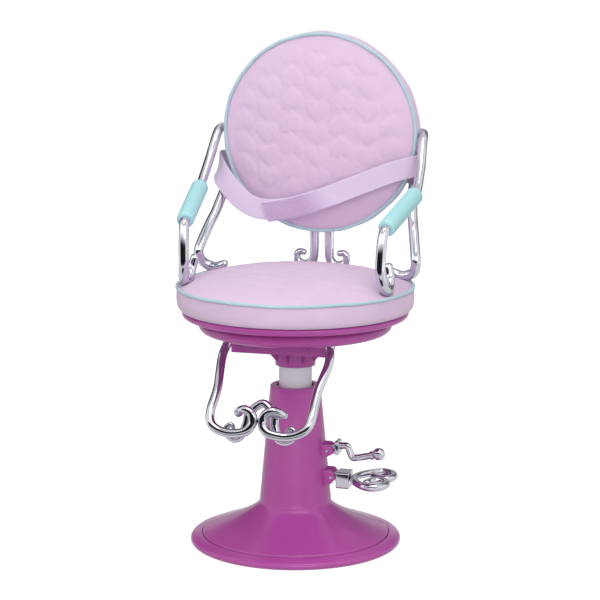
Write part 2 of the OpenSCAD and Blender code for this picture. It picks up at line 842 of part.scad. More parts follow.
arm_line = concat(smooth(concat(arm_low, [grip_low])),
                  [mix(grip_low, grip_high, 0.06)],
                  [for (t = [0.3, 0.5, 0.7, 0.94]) mix(grip_low, grip_high, t)],
                  smooth(concat([grip_high], arm_high)));

module arm(side) color(chrome) {
    line = side > 0 ? arm_line : flip(arm_line);
    tube(line, swelled(line, tip_r, frame_r, frame_r - 0.4, 3 * ring_steps), dome_start = true);
    translate([side * arm_foot.x, arm_foot.y, cushion_z + free_gap])
        cylinder(h = arm_foot_z - cushion_z - free_gap, r = peg_r);
    mirror([side < 0 ? 1 : 0, 0, 0])
        translate(arm_plug - socket_in / 2 * arm_dir)
            rotate([0, -90 - arm_plug_angle, 0])
                cylinder(h = plug_reach - socket_in / 2, r = peg_r);
}

module arm_right() arm(1);
module arm_left() arm(-1);

// Soft sleeve on the arm's straight stretch
module grip(side) color(mint)
    translate([side * grip_mid.x, grip_mid.y, grip_mid.z])
        mirror([side < 0 ? 1 : 0, 0, 0])
            rotate([0, acos(grip_run.z), atan2(grip_run.y, grip_run.x)])
                rotate_extrude()
                    difference() {
                        polygon(concat(
                            [[0, -grip_len / 2]],
                            arc([grip_r - grip_edge, grip_edge - grip_len / 2], grip_edge, -90, 0, 6),
                            arc([grip_r - grip_edge, grip_len / 2 - grip_edge], grip_edge, 0, 90, 6),
                            [[0, grip_len / 2]]));
                        translate([0, -grip_len])
                            square([frame_r + fix_gap, 2 * grip_len]);
                    }
grip_edge = 2.2;

module grip_right() grip(1);
module grip_left() grip(-1);

// Middle line of the right rear leg, from its curled foot to the back
leg_base = [leg_foot.x, leg_foot.y, leg_foot_z];
leg_dir = [cos(leg_plug_angle), 0, sin(leg_plug_angle)];
leg_plug = [0, back_mid_y, back_z] + back_side_r * leg_dir;
leg_line = smooth([leg_base + [-8.4, 0.7, 2.8], leg_base + [-4, 0.4, 0.6], leg_base,
                   leg_base + [5, -0.2, 1.2], leg_base + [9, -1.8, 4], leg_base + [11, -4.8, 9],
                   leg_base + [11, -5.4, 16],
                   leg_base + [6.6, 7, 33.3], leg_base + [3.5, 16, 43.7], leg_plug + [6, -16.5, -15],
                   leg_plug + [4.6, -7.4, -6.2], leg_plug + [3.2, -1.8, -2], leg_plug,
                   leg_plug - socket_in * leg_dir]);

module rear_leg(side) color(chrome) {
    line = side > 0 ? leg_line : flip(leg_line);
    tube(line, swelled(line, frame_r - 1, frame_r, frame_r - 0.2, 2 * ring_steps), dome_start = true);
    translate([side * leg_foot.x, leg_foot.y, cushion_z + free_gap])
        cylinder(h = leg_foot_z - cushion_z - free_gap, r = peg_r);
    mirror([side < 0 ? 1 : 0, 0, 0])
        translate(leg_plug - socket_in / 2 * leg_dir)
            rotate([0, -90 - leg_plug_angle, 0])
                cylinder(h = plug_reach - socket_in / 2, r = peg_r);
}

module rear_leg_right() rear_leg(1);
module rear_leg_left() rear_leg(-1);

// Middle line of the right back post, from its curled tip up into the back
post_base = [post_foot.x, post_foot.y, post_foot_z];
curl_middle = [3, -0.2, 6.6];
curl_bend = 3.9;
post_line = relaxed(smooth(concat(
    [for (a = [120, 75, 30, -15]) post_base + curl_middle + curl_bend * [cos(a), 0, sin(a)]],
    [post_base + [5.3, -0.2, 2], post_base,
     [post_x + 3.8, post_foot.y, post_foot_z + 1.2],
     [post_x + 0.8, mix(post_foot.y, back_mid_y, 0.1), post_foot_z + 5],
     [post_x, mix(post_foot.y, back_mid_y, 0.5), post_foot_z + 12], [post_x, back_mid_y, post_plug_z - 4],
     [post_x, back_mid_y, post_plug_z + socket_in]])), 3);

module back_post(side) color(chrome) {
    line = side > 0 ? post_line : flip(post_line);
    tube(line, taper(line, tip_r, frame_r), dome_start = true);
    translate([side * post_foot.x, post_foot.y, cushion_z + free_gap])
        cylinder(h = post_foot_z - cushion_z - free_gap, r = peg_r);
    translate([side * post_x, back_mid_y, post_plug_z + socket_in / 2])
        cylinder(h = plug_reach - socket_in / 2, r = peg_r);
}

module back_post_right() back_post(1);
module back_post_left() back_post(-1);

// Middle line of the footrest's right side: down from the pan and round into a scroll
footrest_top = [footrest_x, -footrest_y, pan_z];
scroll_in_x = footrest_r + free_gap / 2;
footrest_line = smooth(concat(
    [for (v = [[0, 0, footrest_socket - 1], [0, 0, 7], [0, 0, 3.2], [0, 0, -0.6], [0.35, -0.55, -4],
               [1.4, -3.1, -7.6], [1.9, -6.8, -11.2], [1.8, -11.4, -16], [0.2, -20.8, -24],
               [-1.2, -29.6, -32], [-1.2, -37.7, -39], [-0.8, -45.8, -46], [-1.8, -51.6, -52.6],
               [-5.6, -55.4, -57.2], [-12, -56.8, -60.2]])
        footrest_top + v],
    [for (v = [[20, -58.2, -61.2], [8.6, -59.2, -58.6], [scroll_in_x + 0.1, -56, -52.4],
               [scroll_in_x + 1.2, -54, -46.8], [9.8, -53, -43.4], [14.4, -50.4, -44.4],
               [17.8, -47.4, -47.2]])
        [v.x, v.y - footrest_y, v.z + pan_z]]));

module footrest(side) color(chrome) {
    line = side > 0 ? footrest_line : flip(footrest_line);
    tube(line, even(line, footrest_r), dome_end = true);
}

module footrest_right() footrest(1);
module footrest_left() footrest(-1);

// Scroll behind the footrest's two sides: an arch between two outward curls
arch_top = [0, -footrest_y - 41.2, pan_z - 40.4];
arch_half = [for (v = [[9.4, -4, -7], [11.4, -7.2, -15.5], [15, -10.2, -24], [20.2, -10.4, -26.6],
                       [24.8, -9.2, -25], [27.2, -8, -21.4], [26.4, -7, -18], [23.7, -6.6, -16.7],
                       [21.7, -6.6, -18.4], [22, -6.6, -20.8]])
    arch_top + v];
arch_back = flip([for (i = [len(arch_half) - 1:-1:0]) arch_half[i]]);
arch_line = relaxed(smooth(concat(arch_back, [arch_top], arch_half), 4), 3);
arch_tip_r = 1.4;

module footrest_scroll() color(chrome)
    tube(arch_line, tipped(arch_line, arch_tip_r, footrest_r - 0.3, 28), dome_start = true, dome_end = true);

// Flat belt along stations that give the belt's middle, and the way its width lies
module belt(stations) {
    line = smooth([for (s = stations) s[0]], 4);
    wide = smooth([for (s = stations) s[1]], 4);
    skin([for (i = [0:len(line) - 1])
        let (t = along(line, i), side = across(wide[i], t))
        let (w = side * belt_w / 2, n = cross(t, side) * belt_t / 2)
        [line[i] - w - n, line[i] + w - n, line[i] + w + n, line[i] - w + n]]);
}

belt_mid = [0, back_mid_y + back_t / 2 + back_rear_crown + soft_gap + belt_t / 2, back_z - 24];
belt_side_x = back_side_r + 3.2;

// Longer end of the belt: from behind the back, round its right edge and across the front
module belt_long() color(lilac)
    belt([[belt_mid + [free_gap, 0, 0], [0, 0, 1]],
          [belt_mid + [34, 0, 0], [0, 0, 1]],
          [belt_mid + [66, 0, 5], [0, 0, 1]],
          [belt_mid + [79, -2, 5.5], [0, 0, 1]],
          [[belt_side_x, back_mid_y + 4.5, back_z - 19], [0, 0, 1]],
          [[belt_side_x, back_mid_y - 3, back_z - 20.5], [0, 0, 1]],
          [[belt_side_x - 1.4, back_y - 0.6, back_z - 23], [0, 0, 1]],
          [[belt_side_x - 8, back_y - 6, back_z - 25], [0.1, 0, 1]],
          [[belt_side_x * 0.72, back_y - 9, back_z - 29.7], [0.2, 0.05, 1]],
          [[belt_side_x * 0.36, back_y - 11.6, back_z - 42.2], [0.3, 0.1, 1]],
          [[0, back_y - 15, back_z - 54.2], [0.25, 0.15, 1]],
          [[-belt_side_x * 0.28, back_y - 19.8, back_z - 60.8], [0.1, 0.2, 1]],
          [[-belt_side_x * 0.47, back_y - 22, back_z - 63.6], [0.08, 0.2, 1]]]);

// Shorter end of the belt: round the back's left edge, and under the longer end
module belt_short() color(lilac)
    belt([[belt_mid - [free_gap, 0, 0], [0, 0, 1]],
          [belt_mid + [-34, 0, 0], [0, 0, 1]],
          [belt_mid + [-66, 0, 4], [0, 0, 1]],
          [belt_mid + [-79, -2, 4], [0, 0, 1]],
          [[-belt_side_x, back_mid_y + 4.5, back_z - 20], [0, 0, 1]],
          [[-belt_side_x, back_mid_y - 4, back_z - 21.6], [0.05, 0, 1]],
          [[-belt_side_x + 1, back_y - 4, back_z - 28.4], [0.2, 0.1, 1]],
          [[-belt_side_x * 0.93, back_y - 11.4, back_z - 37.4], [0.4, 0.2, 1]],
          [[-belt_side_x * 0.83, back_y - 14.8, back_z - 46], [0.5, 0.3, 1]],
          [[-belt_side_x * 0.72, back_y - 17.4, back_z - 54.3], [0.4, 0.3, 1]],
          [[-belt_side_x * 0.59, back_y - 19.4, back_z - 60], [0.15, 0.2, 1]],
          [[-belt_side_x * 0.44, back_y - 19.6, back_z - 61.8], [0.1, 0.2, 1]],
          [[-belt_side_x * 0.28, back_y - 18, back_z - 60.8], [0.1, 0.2, 1]]]);

// Height lever: its middle line from the collar out to the ball
lever_collar_x = lever_x + ear_reach(lever_nose) + free_gap;
lever_collar_t = 3.4;
lever_collar_h = 11.4;
lever_collar_rise = 2.4;
lever_base = [lever_x, 0, lever_z];
ball_run = unit([17.8, 0, 4.7]);
ball_middle = lever_base + [41, 0, -1.5];
ball_flat = sqrt(ball_r * ball_r - lever_rod_r * lever_rod_r);
ball_peg_r = lever_rod_r / 2;
ball_peg_len = ball_flat;
lever_end = ball_middle - ball_flat * ball_run;
lever_line = smooth([lever_base + [lever_nose + 2, 0, lever_collar_rise], lever_base + [11.8, 0, 3.4],
                     lever_base + [14.6, 0, 3.2], lever_base + [16.4, 0, 1.3], lever_base + [18.1, 0, -3.4],
                     lever_base + [19.9, 0, -5.6], lever_base + [22.8, 0, -6], lever_end], 4);
neck_len = 2.4;

// Places a child on the lever's end, with +Z pointing towards the ball
module on_lever_end() {
    translate(lever_end)
        rotate([0, acos(ball_run.z), 0])
            children();
}

// Cranked lever with the lug that turns on its pin
module lever_arm() color(chrome) difference() {
    union() {
        translate([lever_x, ear_gap - free_gap, lever_z])
            rotate([90, 0, 0])
                cylinder(h = 2 * (ear_gap - free_gap), r = lug_r);
        translate([lever_x, -ear_gap + free_gap, lever_z - lug_r / 2])
            cube([lever_collar_x - lever_x + 1, 2 * (ear_gap - free_gap), 1.5 * lug_r]);
        translate([lever_collar_x, -ear_gap - ear_t / 2, lever_z + lever_collar_rise - lever_collar_h / 2])
            cube([lever_collar_t, 2 * ear_gap + ear_t, lever_collar_h]);
        tube(lever_line, even(lever_line, lever_rod_r));
        on_lever_end() {
            translate([0, 0, -1])
                cylinder(h = ball_peg_len + 1, r = ball_peg_r);
            translate([0, 0, -neck_len])
                cylinder(h = neck_len, r = lever_rod_r + 0.8);
        }
    }
    translate([lever_x, ear_gap + 1, lever_z])
        rotate([90, 0, 0])
            cylinder(h = 2 * ear_gap + 2, r = pin_r + run_gap);
}

// Round knob on the lever's end, with a flat and a hole for the rod
module lever_ball() color(chrome) difference() {
    translate(ball_middle)
        sphere(r = ball_r);
    on_lever_end() {
        cylinder(h = ball_peg_len + free_gap, r = ball_peg_r + fix_gap);
        translate([0, 0, -ball_r])
            cylinder(h = ball_r + fix_gap, r = ball_r);
    }
}

pedal_block_x = pedal_x + ear_reach(pedal_nose) + free_gap;
pedal_block_len = 10.8;
pedal_block_h = 13.6;
pedal_block_drop = 1.1;
pedal_mid_z = pedal_z - 1;

// Block and lug of the pump pedal
module pedal_block() color(chrome) difference() {
    union() {
        translate([pedal_x, ear_gap - free_gap, pedal_z])
            rotate([90, 0, 0])
                cylinder(h = 2 * (ear_gap - free_gap), r = lug_r);
        translate([pedal_x, -ear_gap + free_gap, pedal_z - lug_r])
            cube([pedal_block_x - pedal_x + 1, 2 * (ear_gap - free_gap), 2 * lug_r]);
        translate([pedal_block_x, -ear_gap - ear_t, pedal_mid_z - pedal_block_drop - pedal_block_h / 2])
            cube([pedal_block_len, 2 * (ear_gap + ear_t), pedal_block_h]);
    }
    translate([pedal_x, ear_gap + 1, pedal_z])
        rotate([90, 0, 0])
            cylinder(h = 2 * ear_gap + 2, r = pin_r + run_gap);
}

// Middle line of one half of the pedal's heart, from the block round the lobe to its curled tip
heart_x = pedal_block_x + pedal_block_len + pedal_tube_r + fix_gap;
heart_gap = pedal_tube_r + free_gap;
function heart_point(u, v) = [heart_x + pedal_len * u, pedal_half_w * v, pedal_mid_z];
heart_half = [heart_point(0.06, 0.34), heart_point(0.3, 0.74), heart_point(0.62, 1), heart_point(0.92, 0.82),
              heart_point(1, 0.46), [heart_x + pedal_len * 0.9, heart_gap + 0.6, pedal_mid_z],
              [heart_x + pedal_len * 0.7, heart_gap, pedal_mid_z],
              heart_point(0.5, 0.3), heart_point(0.44, 0.5)];
heart_line = smooth(concat([for (i = [8:-1:0]) [heart_half[i].x, -heart_half[i].y, heart_half[i].z]],
                           [heart_point(0, 0)], heart_half), 4);

// Open heart of bent tube on which a foot presses
module pedal_heart() color(chrome)
    tube(heart_line, even(heart_line, pedal_tube_r), dome_start = true, dome_end = true);

pedestal();
base_ring();
base_plate();
base_screws();
guide_bush();
friction_ring();
lever_pin();
pedal_pin();
lift_tube();
tube_foot();
swivel_spindle();
swivel_washer();
swivel_screw();
swivel_bracket();
bracket_screws();
seat_pan();
pan_screws();
seat_board();
seat_cushion();
seat_piping();
back_board();
back_cushion();
back_piping();
arm_right();
arm_left();
grip_right();
grip_left();
rear_leg_right();
rear_leg_left();
back_post_right();
back_post_left();
footrest_right();
footrest_left();
footrest_scroll();
belt_long();
belt_short();
lever_arm();
lever_ball();
pedal_block();
pedal_heart();
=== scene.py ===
"""Looks of a doll-size salon styling chair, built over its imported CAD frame.

The builders work in millimetres in the row frame: +Z is up, the chair faces -Y and the levers point along +X.
"""

import json
import logging
import math
from dataclasses import dataclass, field
from enum import Enum

import bpy
import numpy as np
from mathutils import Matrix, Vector


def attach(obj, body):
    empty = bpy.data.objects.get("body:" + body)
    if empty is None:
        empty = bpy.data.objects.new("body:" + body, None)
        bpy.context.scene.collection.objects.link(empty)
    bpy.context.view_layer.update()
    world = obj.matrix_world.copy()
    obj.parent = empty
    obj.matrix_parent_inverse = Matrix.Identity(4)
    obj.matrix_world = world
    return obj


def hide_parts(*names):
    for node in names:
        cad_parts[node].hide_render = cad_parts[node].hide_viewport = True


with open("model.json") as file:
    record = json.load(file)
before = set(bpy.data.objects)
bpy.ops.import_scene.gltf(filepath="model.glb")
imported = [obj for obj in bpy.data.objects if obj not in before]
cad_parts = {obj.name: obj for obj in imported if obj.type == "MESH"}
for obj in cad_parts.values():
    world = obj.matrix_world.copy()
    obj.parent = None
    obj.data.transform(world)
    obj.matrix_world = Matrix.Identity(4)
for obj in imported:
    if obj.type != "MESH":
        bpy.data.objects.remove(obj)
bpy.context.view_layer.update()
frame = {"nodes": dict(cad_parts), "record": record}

MM = 0.001
AXIS_R = 0.02  # where a turned outline ends at its axis
TUBE_SIDES = 32
DOME_ANGLES = (84, 66, 48, 32, 16)
BEND_STEPS = 5
EDGE_STEPS = 4
LATHE_TURNS = 192
SPINDLE_SIDES = 48
UP = np.array([0, 0, 1])
Array = np.ndarray
Socket = bpy.types.NodeSocket
Pair = tuple[float, float]
Point = tuple[float, float, float]
Ear = tuple[float, float, float, float]
Colour = tuple[int, int, int]
Line = tuple[Point, ...]
Corners = list[list[float]]
Waves = tuple[tuple[float, int, float], ...]
log = logging.getLogger("chair")


def linear(colour: Colour) -> tuple[float, ...]:
    """Returns the linear colour, with full alpha, of an sRGB colour given from 0 to 255."""
    c = np.array(colour) / 255
    return (*np.where(c <= 0.04045, c / 12.92, ((c + 0.055) / 1.055) ** 2.4).tolist(), 1)


def ease(x: Array) -> Array:
    """Returns a smooth step: 0 up to 0, 1 from 1 on."""
    t = np.clip(x, 0, 1)
    return t * t * (3 - 2 * t)


def bell(x: Array) -> Array:
    """Returns a hump of height 1 at 0 that has all but gone at 2."""
    return np.exp(-(x**2))


def unit(v: Array) -> Array:
    """Returns vectors of length 1 along the last axis."""
    return v / np.linalg.norm(v, axis=-1, keepdims=True)


def around(steps: int) -> Array:
    """Returns even angles of a full turn."""
    return np.linspace(0, 2 * np.pi, steps, endpoint=False)


def rippled(turn: Array, waves: Waves) -> Array:
    """Returns the sum of waves round a turn, each with its height, its count and its start."""
    return sum(height * np.sin(count * turn + start) for height, count, start in waves)


def runs(line: Array) -> Array:
    """Returns the length along a line at each of its points."""
    return np.concatenate([[0], np.cumsum(np.linalg.norm(np.diff(line, axis=0), axis=1))])


def to_front(grid: Array) -> Array:
    """Returns points turned about X, so that what pointed up points to the front."""
    return np.stack([grid[..., 0], -grid[..., 2], grid[..., 1]], axis=-1)


def spline(points: list[Point], steps: int = 14) -> Array:
    """Smooth curve through points: between two of them, the cubic whose slopes follow the points around.

    Args:
        points: The points that the curve goes through.
        steps: Steps between two neighbours.

    Returns:
        The curve's points, one row each.
    """
    p = np.asarray(points, float)
    q = np.vstack([2 * p[0] - p[1], p, 2 * p[-1] - p[-2]])
    a, b, c, d = (x[:, None] for x in (q[:-3], q[1:-2], q[2:-1], q[3:]))
    t = (np.arange(steps) / steps)[None, :, None]
    bend, twist = 2 * a - 5 * b + 4 * c - d, 3 * b - a - 3 * c + d
    curve = b + (c - a) * t / 2 + bend * t**2 / 2 + twist * t**3 / 2
    return np.vstack([curve.reshape(-1, p.shape[1]), p[-1:]])


def arc(middle: Pair, radius: float, start: float, end: float, steps: int) -> Corners:
    """Returns the points of an arc in the plane, with its angles in degrees."""
    a = np.radians(np.linspace(start, end, steps + 1))
    return np.column_stack([middle[0] + radius * np.cos(a), middle[1] + radius * np.sin(a)]).tolist()


def rounded(corners: Corners, radius: float) -> Array:
    """Closed outline with each corner cut short and bent round: a parabola from one cut to the next.

    Args:
        corners: The outline's corners in the plane.
        radius: Length that is cut off at a corner, at most half a side.

    Returns:
        The outline's points, one row each.
    """
    p = np.asarray(corners, float)
    before, after = np.roll(p, 1, axis=0) - p, np.roll(p, -1, axis=0) - p
    cut = [np.minimum(radius, 0.5 * np.linalg.norm(v, axis=1))[:, None] * unit(v) for v in (before, after)]
    t = np.linspace(0, 1, BEND_STEPS + 1)[None, :, None]
    bend = p[:, None] + cut[0][:, None] * (1 - t) ** 2 + cut[1][:, None] * t**2
    return bend.reshape(-1, 2)


def oblong(low: Pair, high: Pair, radius: float) -> Array:
    """Returns the outline of a rectangle between two corners, with its corners rounded."""
    (left, bottom), (right, top) = low, high
    return rounded([[left, bottom], [right, bottom], [right, top], [left, top]], radius)


@dataclass
class Skin:
    """Points in millimetres, the faces over them, and each point's flat place where a pattern needs one."""

    points: Array
    faces: list[list[int]]
    flat: Array | None = None

    def mirrored(self) -> "Skin":
        """Returns the skin on the chair's other side, facing outward."""
        return Skin(self.points * np.array([-1, 1, 1]), [f[::-1] for f in self.faces], self.flat)


def joined(skins: list[Skin]) -> Skin:
    """Puts skins together.

    Args:
        skins: The skins, without flat places.

    Returns:
        One skin of them all.
    """
    starts = np.cumsum([0] + [len(s.points) for s in skins[:-1]])
    faces = [[int(k + start) for k in f] for s, start in zip(skins, starts) for f in s.faces]
    return Skin(np.vstack([s.points for s in skins]), faces)


def grid_skin(points: Array, loop: bool = False, flat: Array | None = None) -> Skin:
    """Skin over rings of points: a quad between two neighbours in a ring and the same two in the next ring.

    Args:
        points: Rings by sides by 3. Each ring runs round to its start.
        loop: Whether the last ring joins the first. If not, a face closes each of them.
        flat: Rings by sides by 2 places for a pattern.

    Returns:
        The skin, facing outward where rings turn to the left about the way they advance.
    """
    rings, sides = points.shape[:2]
    i = np.arange(rings if loop else rings - 1)[:, None]
    j = np.arange(sides)[None, :]
    here, there = i * sides, (i + 1) % rings * sides
    quads = np.stack([here + j, here + (j + 1) % sides, there + (j + 1) % sides, there + j], axis=-1)
    faces = quads.reshape(-1, 4).tolist()
    if not loop:
        last = (rings - 1) * sides
        faces += [list(range(sides))[::-1], list(range(last, last + sides))]
    return Skin(points.reshape(-1, 3), faces, None if flat is None else flat.reshape(-1, 2))


def turned(outline: Array, turns: int) -> Array:
    """Grid of an outline turned about Z: the point (r, z) goes to (r cos a, r sin a, z).

    Args:
        outline: Radius and height of each point, going up on the outside.
        turns: Number of steps round the axis.

    Returns:
        Outline points by turns by 3.
    """
    a = around(turns)
    r, z = np.asarray(outline, float).T
    height = np.repeat(z[:, None], turns, 1)
    return np.stack([np.outer(r, np.cos(a)), np.outer(r, np.sin(a)), height], axis=-1)


def lathe(outline: Array, turns: int = LATHE_TURNS) -> Skin:
    """Returns the skin of a closed outline turned about Z."""
    return grid_skin(turned(outline, turns), loop=True)


def carried(path: Array) -> tuple[Array, Array, Array]:
    """Frames along a path: the first side vector is carried on, and at each point made square to the path.

    Args:
        path: Points, one row each.

    Returns:
        The unit vectors along the path, to its side, and square to both.
    """
    ahead = unit(np.gradient(path, axis=0))
    side = np.empty_like(path)
    carry = np.array([1.0, 0, 0]) if abs(ahead[0, 0]) < 0.7 else np.array([0, 1.0, 0])
    for i, t in enumerate(ahead):
        carry = unit(carry - (carry @ t) * t)
        side[i] = carry
    return ahead, side, np.cross(ahead, side)


def sweep(path: Array, radius: Array | float, domes: tuple[bool, bool] = (True, True)) -> Skin:
    """Round tube along a path: at each point, a circle square to the path, with half a ball over the ends.

    Args:
        path: Points of the middle line.
        radius: Radius, or one for each point.
        domes: Whether the start and the end are domed.

    Returns:
        The tube's closed skin.
    """
    ahead, side, up = carried(path)
    r = np.broadcast_to(radius, len(path)).astype(float)
    rise = np.radians(DOME_ANGLES)
    start, end = rise if domes[0] else rise[:0], rise[::-1] if domes[1] else rise[:0]
    before = path[0] - np.outer(r[0] * np.sin(start), ahead[0])
    after = path[-1] + np.outer(r[-1] * np.sin(end), ahead[-1])
    width = np.concatenate([r[0] * np.cos(start), r, r[-1] * np.cos(end)])
    pick = np.pad(np.arange(len(path)), (len(start), len(end)), mode="edge")
    a = around(TUBE_SIDES)[None, :, None]
    ring = np.cos(a) * side[pick][:, None] + np.sin(a) * up[pick][:, None]
    return grid_skin(np.vstack([before, path, after])[:, None] + width[:, None, None] * ring)


def spindle(start: Array, run: Array, along: Array, radius: Array) -> Skin:
    """Straight round piece whose radius changes along it: at each step, a circle square to the way it runs.

    Args:
        start: Where the steps are counted from.
        run: Unit vector along the piece.
        along: Each step's distance from the start.
        radius: Each step's radius.

    Returns:
        The piece's skin, with flat ends.
    """
    side = unit(np.cross(run, (1.0, 0, 0)))
    a = around(SPINDLE_SIDES)[None, :, None]
    path = start + along[:, None] * run
    ring = np.cos(a) * side + np.sin(a) * np.cross(run, side)
    return grid_skin(path[:, None] + radius[:, None, None] * ring)


def slab(outline: Array, depth: float, edge: float) -> Array:
    """Grid of a flat piece with rounded edges: its outline drawn in by a quarter circle towards both faces.

    Args:
        outline: Points in the plane, turning left.
        depth: Thickness of the piece.
        edge: Radius of its edges.

    Returns:
        Rings by points by 3, with the thickness along the third axis, about its middle.
    """
    along = unit(np.roll(outline, -1, axis=0) - np.roll(outline, 1, axis=0))
    inward = np.column_stack([-along[:, 1], along[:, 0]])
    a = np.radians(np.linspace(0, 90, EDGE_STEPS + 1))
    draw, rise = edge * (1 - np.sin(a)), edge * (1 - np.cos(a))
    draw_in = np.concatenate([draw, draw[::-1]])
    height = np.concatenate([rise - depth / 2, depth / 2 - rise[::-1]])
    flat = outline[None] + draw_in[:, None, None] * inward[None]
    return np.concatenate([flat, np.broadcast_to(height[:, None, None], (*flat.shape[:2], 1))], axis=-1)


class Nodes:
    """Shader nodes of a material or a world."""

    def __init__(self, owner: bpy.types.ID) -> None:
        """Switches on the nodes of their owner."""
        owner.use_nodes = True
        self.tree = owner.node_tree

    def put(self, node: bpy.types.Node, values: dict) -> None:
        """Sets a node's inputs: a socket is linked, and anything else is the input's own value.

        Args:
            node: The node.
            values: Sockets or values by the input's name or number.
        """
        for key, value in values.items():
            if isinstance(value, Socket):
                self.tree.links.new(value, node.inputs[key])
            else:
                node.inputs[key].default_value = value

    def put_on(self, name: str, values: dict) -> None:
        """Sets the inputs of a node that is there from the start."""
        self.put(self.tree.nodes[name], values)

    def add(self, kind: str, values: dict, output: str, **settings: str) -> Socket:
        """Adds a node.

        Args:
            kind: The node's kind, without its first words.
            values: What goes into its inputs.
            output: Name of the output that is wanted.
            settings: Choices that aren't inputs.

        Returns:
            The socket of that output.
        """
        node = self.tree.nodes.new("ShaderNode" + kind)
        for name, choice in settings.items():
            setattr(node, name, choice)
        self.put(node, values)
        return node.outputs[output]

    def place(self, kind: str) -> Socket:
        """Returns each point's place: in its object, or on its flat pattern."""
        return self.add("TexCoord", {}, kind)

    def math(self, operation: str, *terms: Socket | float) -> Socket:
        """Returns the result of an operation on two terms."""
        return self.add("Math", dict(enumerate(terms)), "Value", operation=operation)

    def mixed(self, share: Socket, *colours: Socket | tuple) -> Socket:
        """Returns a colour between two by the share of the second."""
        values = dict(zip(("Factor", "A", "B"), (share, *colours)))
        return self.add("Mix", values, "Result", data_type="RGBA")

    def seen(self) -> Socket:
        """Tells what is looked at from what only lights.

        Returns:
            1 for rays from the lens, off a mirror and through clear pieces, and 0 for others.
        """
        rays = ("Camera", "Glossy", "Transmission")
        lens, mirror, clear = (self.add("LightPath", {}, f"Is {ray} Ray") for ray in rays)
        return self.math("MAXIMUM", self.math("MAXIMUM", lens, mirror), clear)


class Texture(Enum):
    """Kinds of surface detail."""

    GRAIN = "fine moulded grain"
    WEAVE = "threads that cross"
    RIBS = "ribs across a tape"
    LOOPS = "small hooks and loops"
    TWIST = "threads wound round a cord"


@dataclass(frozen=True)
class Finish:
    """A surface: its colour with a slow change of shade, its gloss, and the fine relief on it.

    Colours are sRGB from 0 to 255. One that is under it shows at the start of the piece's flat length.
    """

    slot: str
    name: str
    colour: Colour
    shade: Colour
    roughness: Pair
    texture: Texture
    scale: float
    depth: float
    metallic: float = 0.0
    sheen: float = 0.0
    mottle: float = 45.0
    under: Colour | None = None
    fade: float = 0.0

    def material(self) -> bpy.types.Material:
        """Returns the finish's material, made at its first use."""
        return bpy.data.materials.get(self.name) or self._made()

    def _made(self) -> bpy.types.Material:
        """Builds the node tree: slow noise for shade and gloss, and the texture's relief through a bump.

        Returns:
            The new material.
        """
        material = bpy.data.materials.new(self.name)
        nodes = Nodes(material)
        slow = self._noise(nodes, self.mottle, 2.0)
        colour = nodes.mixed(slow, linear(self.colour), linear(self.shade))
        if self.under:
            along = nodes.add("SeparateXYZ", {"Vector": nodes.place("UV")}, "X")
            share = nodes.add("MapRange", {"Value": along, "From Max": self.fade}, "Result",
                              interpolation_type="SMOOTHSTEP")
            colour = nodes.mixed(share, linear(self.under), colour)
        smooth, rough = self.roughness
        relief = {"Distance": self.depth, "Height": self._relief(nodes)}
        nodes.put_on("Principled BSDF", {
            "Metallic": self.metallic, "Sheen Weight": self.sheen, "Base Color": colour,
            "Roughness": nodes.add("MapRange", {"Value": slow, "To Min": smooth, "To Max": rough}, "Result"),
            "Normal": nodes.add("Bump", relief, "Normal")})
        return material

    def _noise(self, nodes: Nodes, scale: float, detail: float) -> Socket:
        """Returns the height of a noise over the object."""
        values = {"Vector": nodes.place("Object"), "Scale": scale, "Detail": detail}
        return nodes.add("TexNoise", values, "Fac")

    def _wave(self, nodes: Nodes, place: Socket, way: str, ripple: float) -> Socket:
        """Returns the height of bands along a direction, a little uneven."""
        values = {"Vector": place, "Scale": self.scale, "Distortion": ripple}
        return nodes.add("TexWave", values, "Fac", bands_direction=way)

    def _relief(self, nodes: Nodes) -> Socket:
        """Builds the height of the finish's texture.

        Args:
            nodes: The material's nodes.

        Returns:
            The socket of the height.
        """
        if self.texture is Texture.GRAIN:
            return self._noise(nodes, self.scale, 4.0)
        if self.texture is Texture.RIBS:
            return self._wave(nodes, nodes.place("UV"), "X", 0.6)
        spot = nodes.place("Object")
        if self.texture is Texture.TWIST:
            return self._wave(nodes, spot, "DIAGONAL", 1.5)
        if self.texture is Texture.LOOPS:
            return nodes.add("TexVoronoi", {"Vector": spot, "Scale": self.scale}, "Distance")
        tilted = nodes.add("Mapping", {"Vector": spot, "Rotation": (math.radians(45), 0, 0)}, "Vector")
        warp, weft = self._wave(nodes, spot, "X", 0.4), self._wave(nodes, tilted, "Y", 0.4)
        return nodes.math("MULTIPLY", warp, weft)


ORCHID = Finish("orchid_plastic", "orchid_plastic_look", (178, 77, 161), (172, 71, 154), (0.16, 0.23),
                Texture.GRAIN, 900.0, 0.00002)
GREY = Finish("grey_plastic", "grey_plastic_look", (222, 222, 229), (216, 216, 224), (0.3, 0.4),
              Texture.GRAIN, 900.0, 0.00004)
HIDDEN = Finish("hidden_plastic", "hidden_plastic_look", (150, 150, 154), (140, 140, 145), (0.45, 0.6),
                Texture.GRAIN, 700.0, 0.00006)
RUBBER = Finish("hidden_rubber", "hidden_rubber_look", (62, 62, 66), (54, 54, 58), (0.7, 0.85),
                Texture.GRAIN, 800.0, 0.0001)
STEEL = Finish("screw_steel", "screw_steel_look", (200, 202, 208), (186, 188, 194), (0.22, 0.34),
               Texture.GRAIN, 1500.0, 0.00003, metallic=1.0)
CLOTH = Finish("lilac_cloth", "lilac_cloth_look", (223, 195, 223), (216, 186, 217), (0.5, 0.6),
               Texture.WEAVE, 700.0, 0.00012, sheen=0.25)
CORD = Finish("mint_cord", "mint_cord_look", (180, 206, 216), (170, 198, 210), (0.55, 0.65),
              Texture.TWIST, 420.0, 0.00015, sheen=0.2)
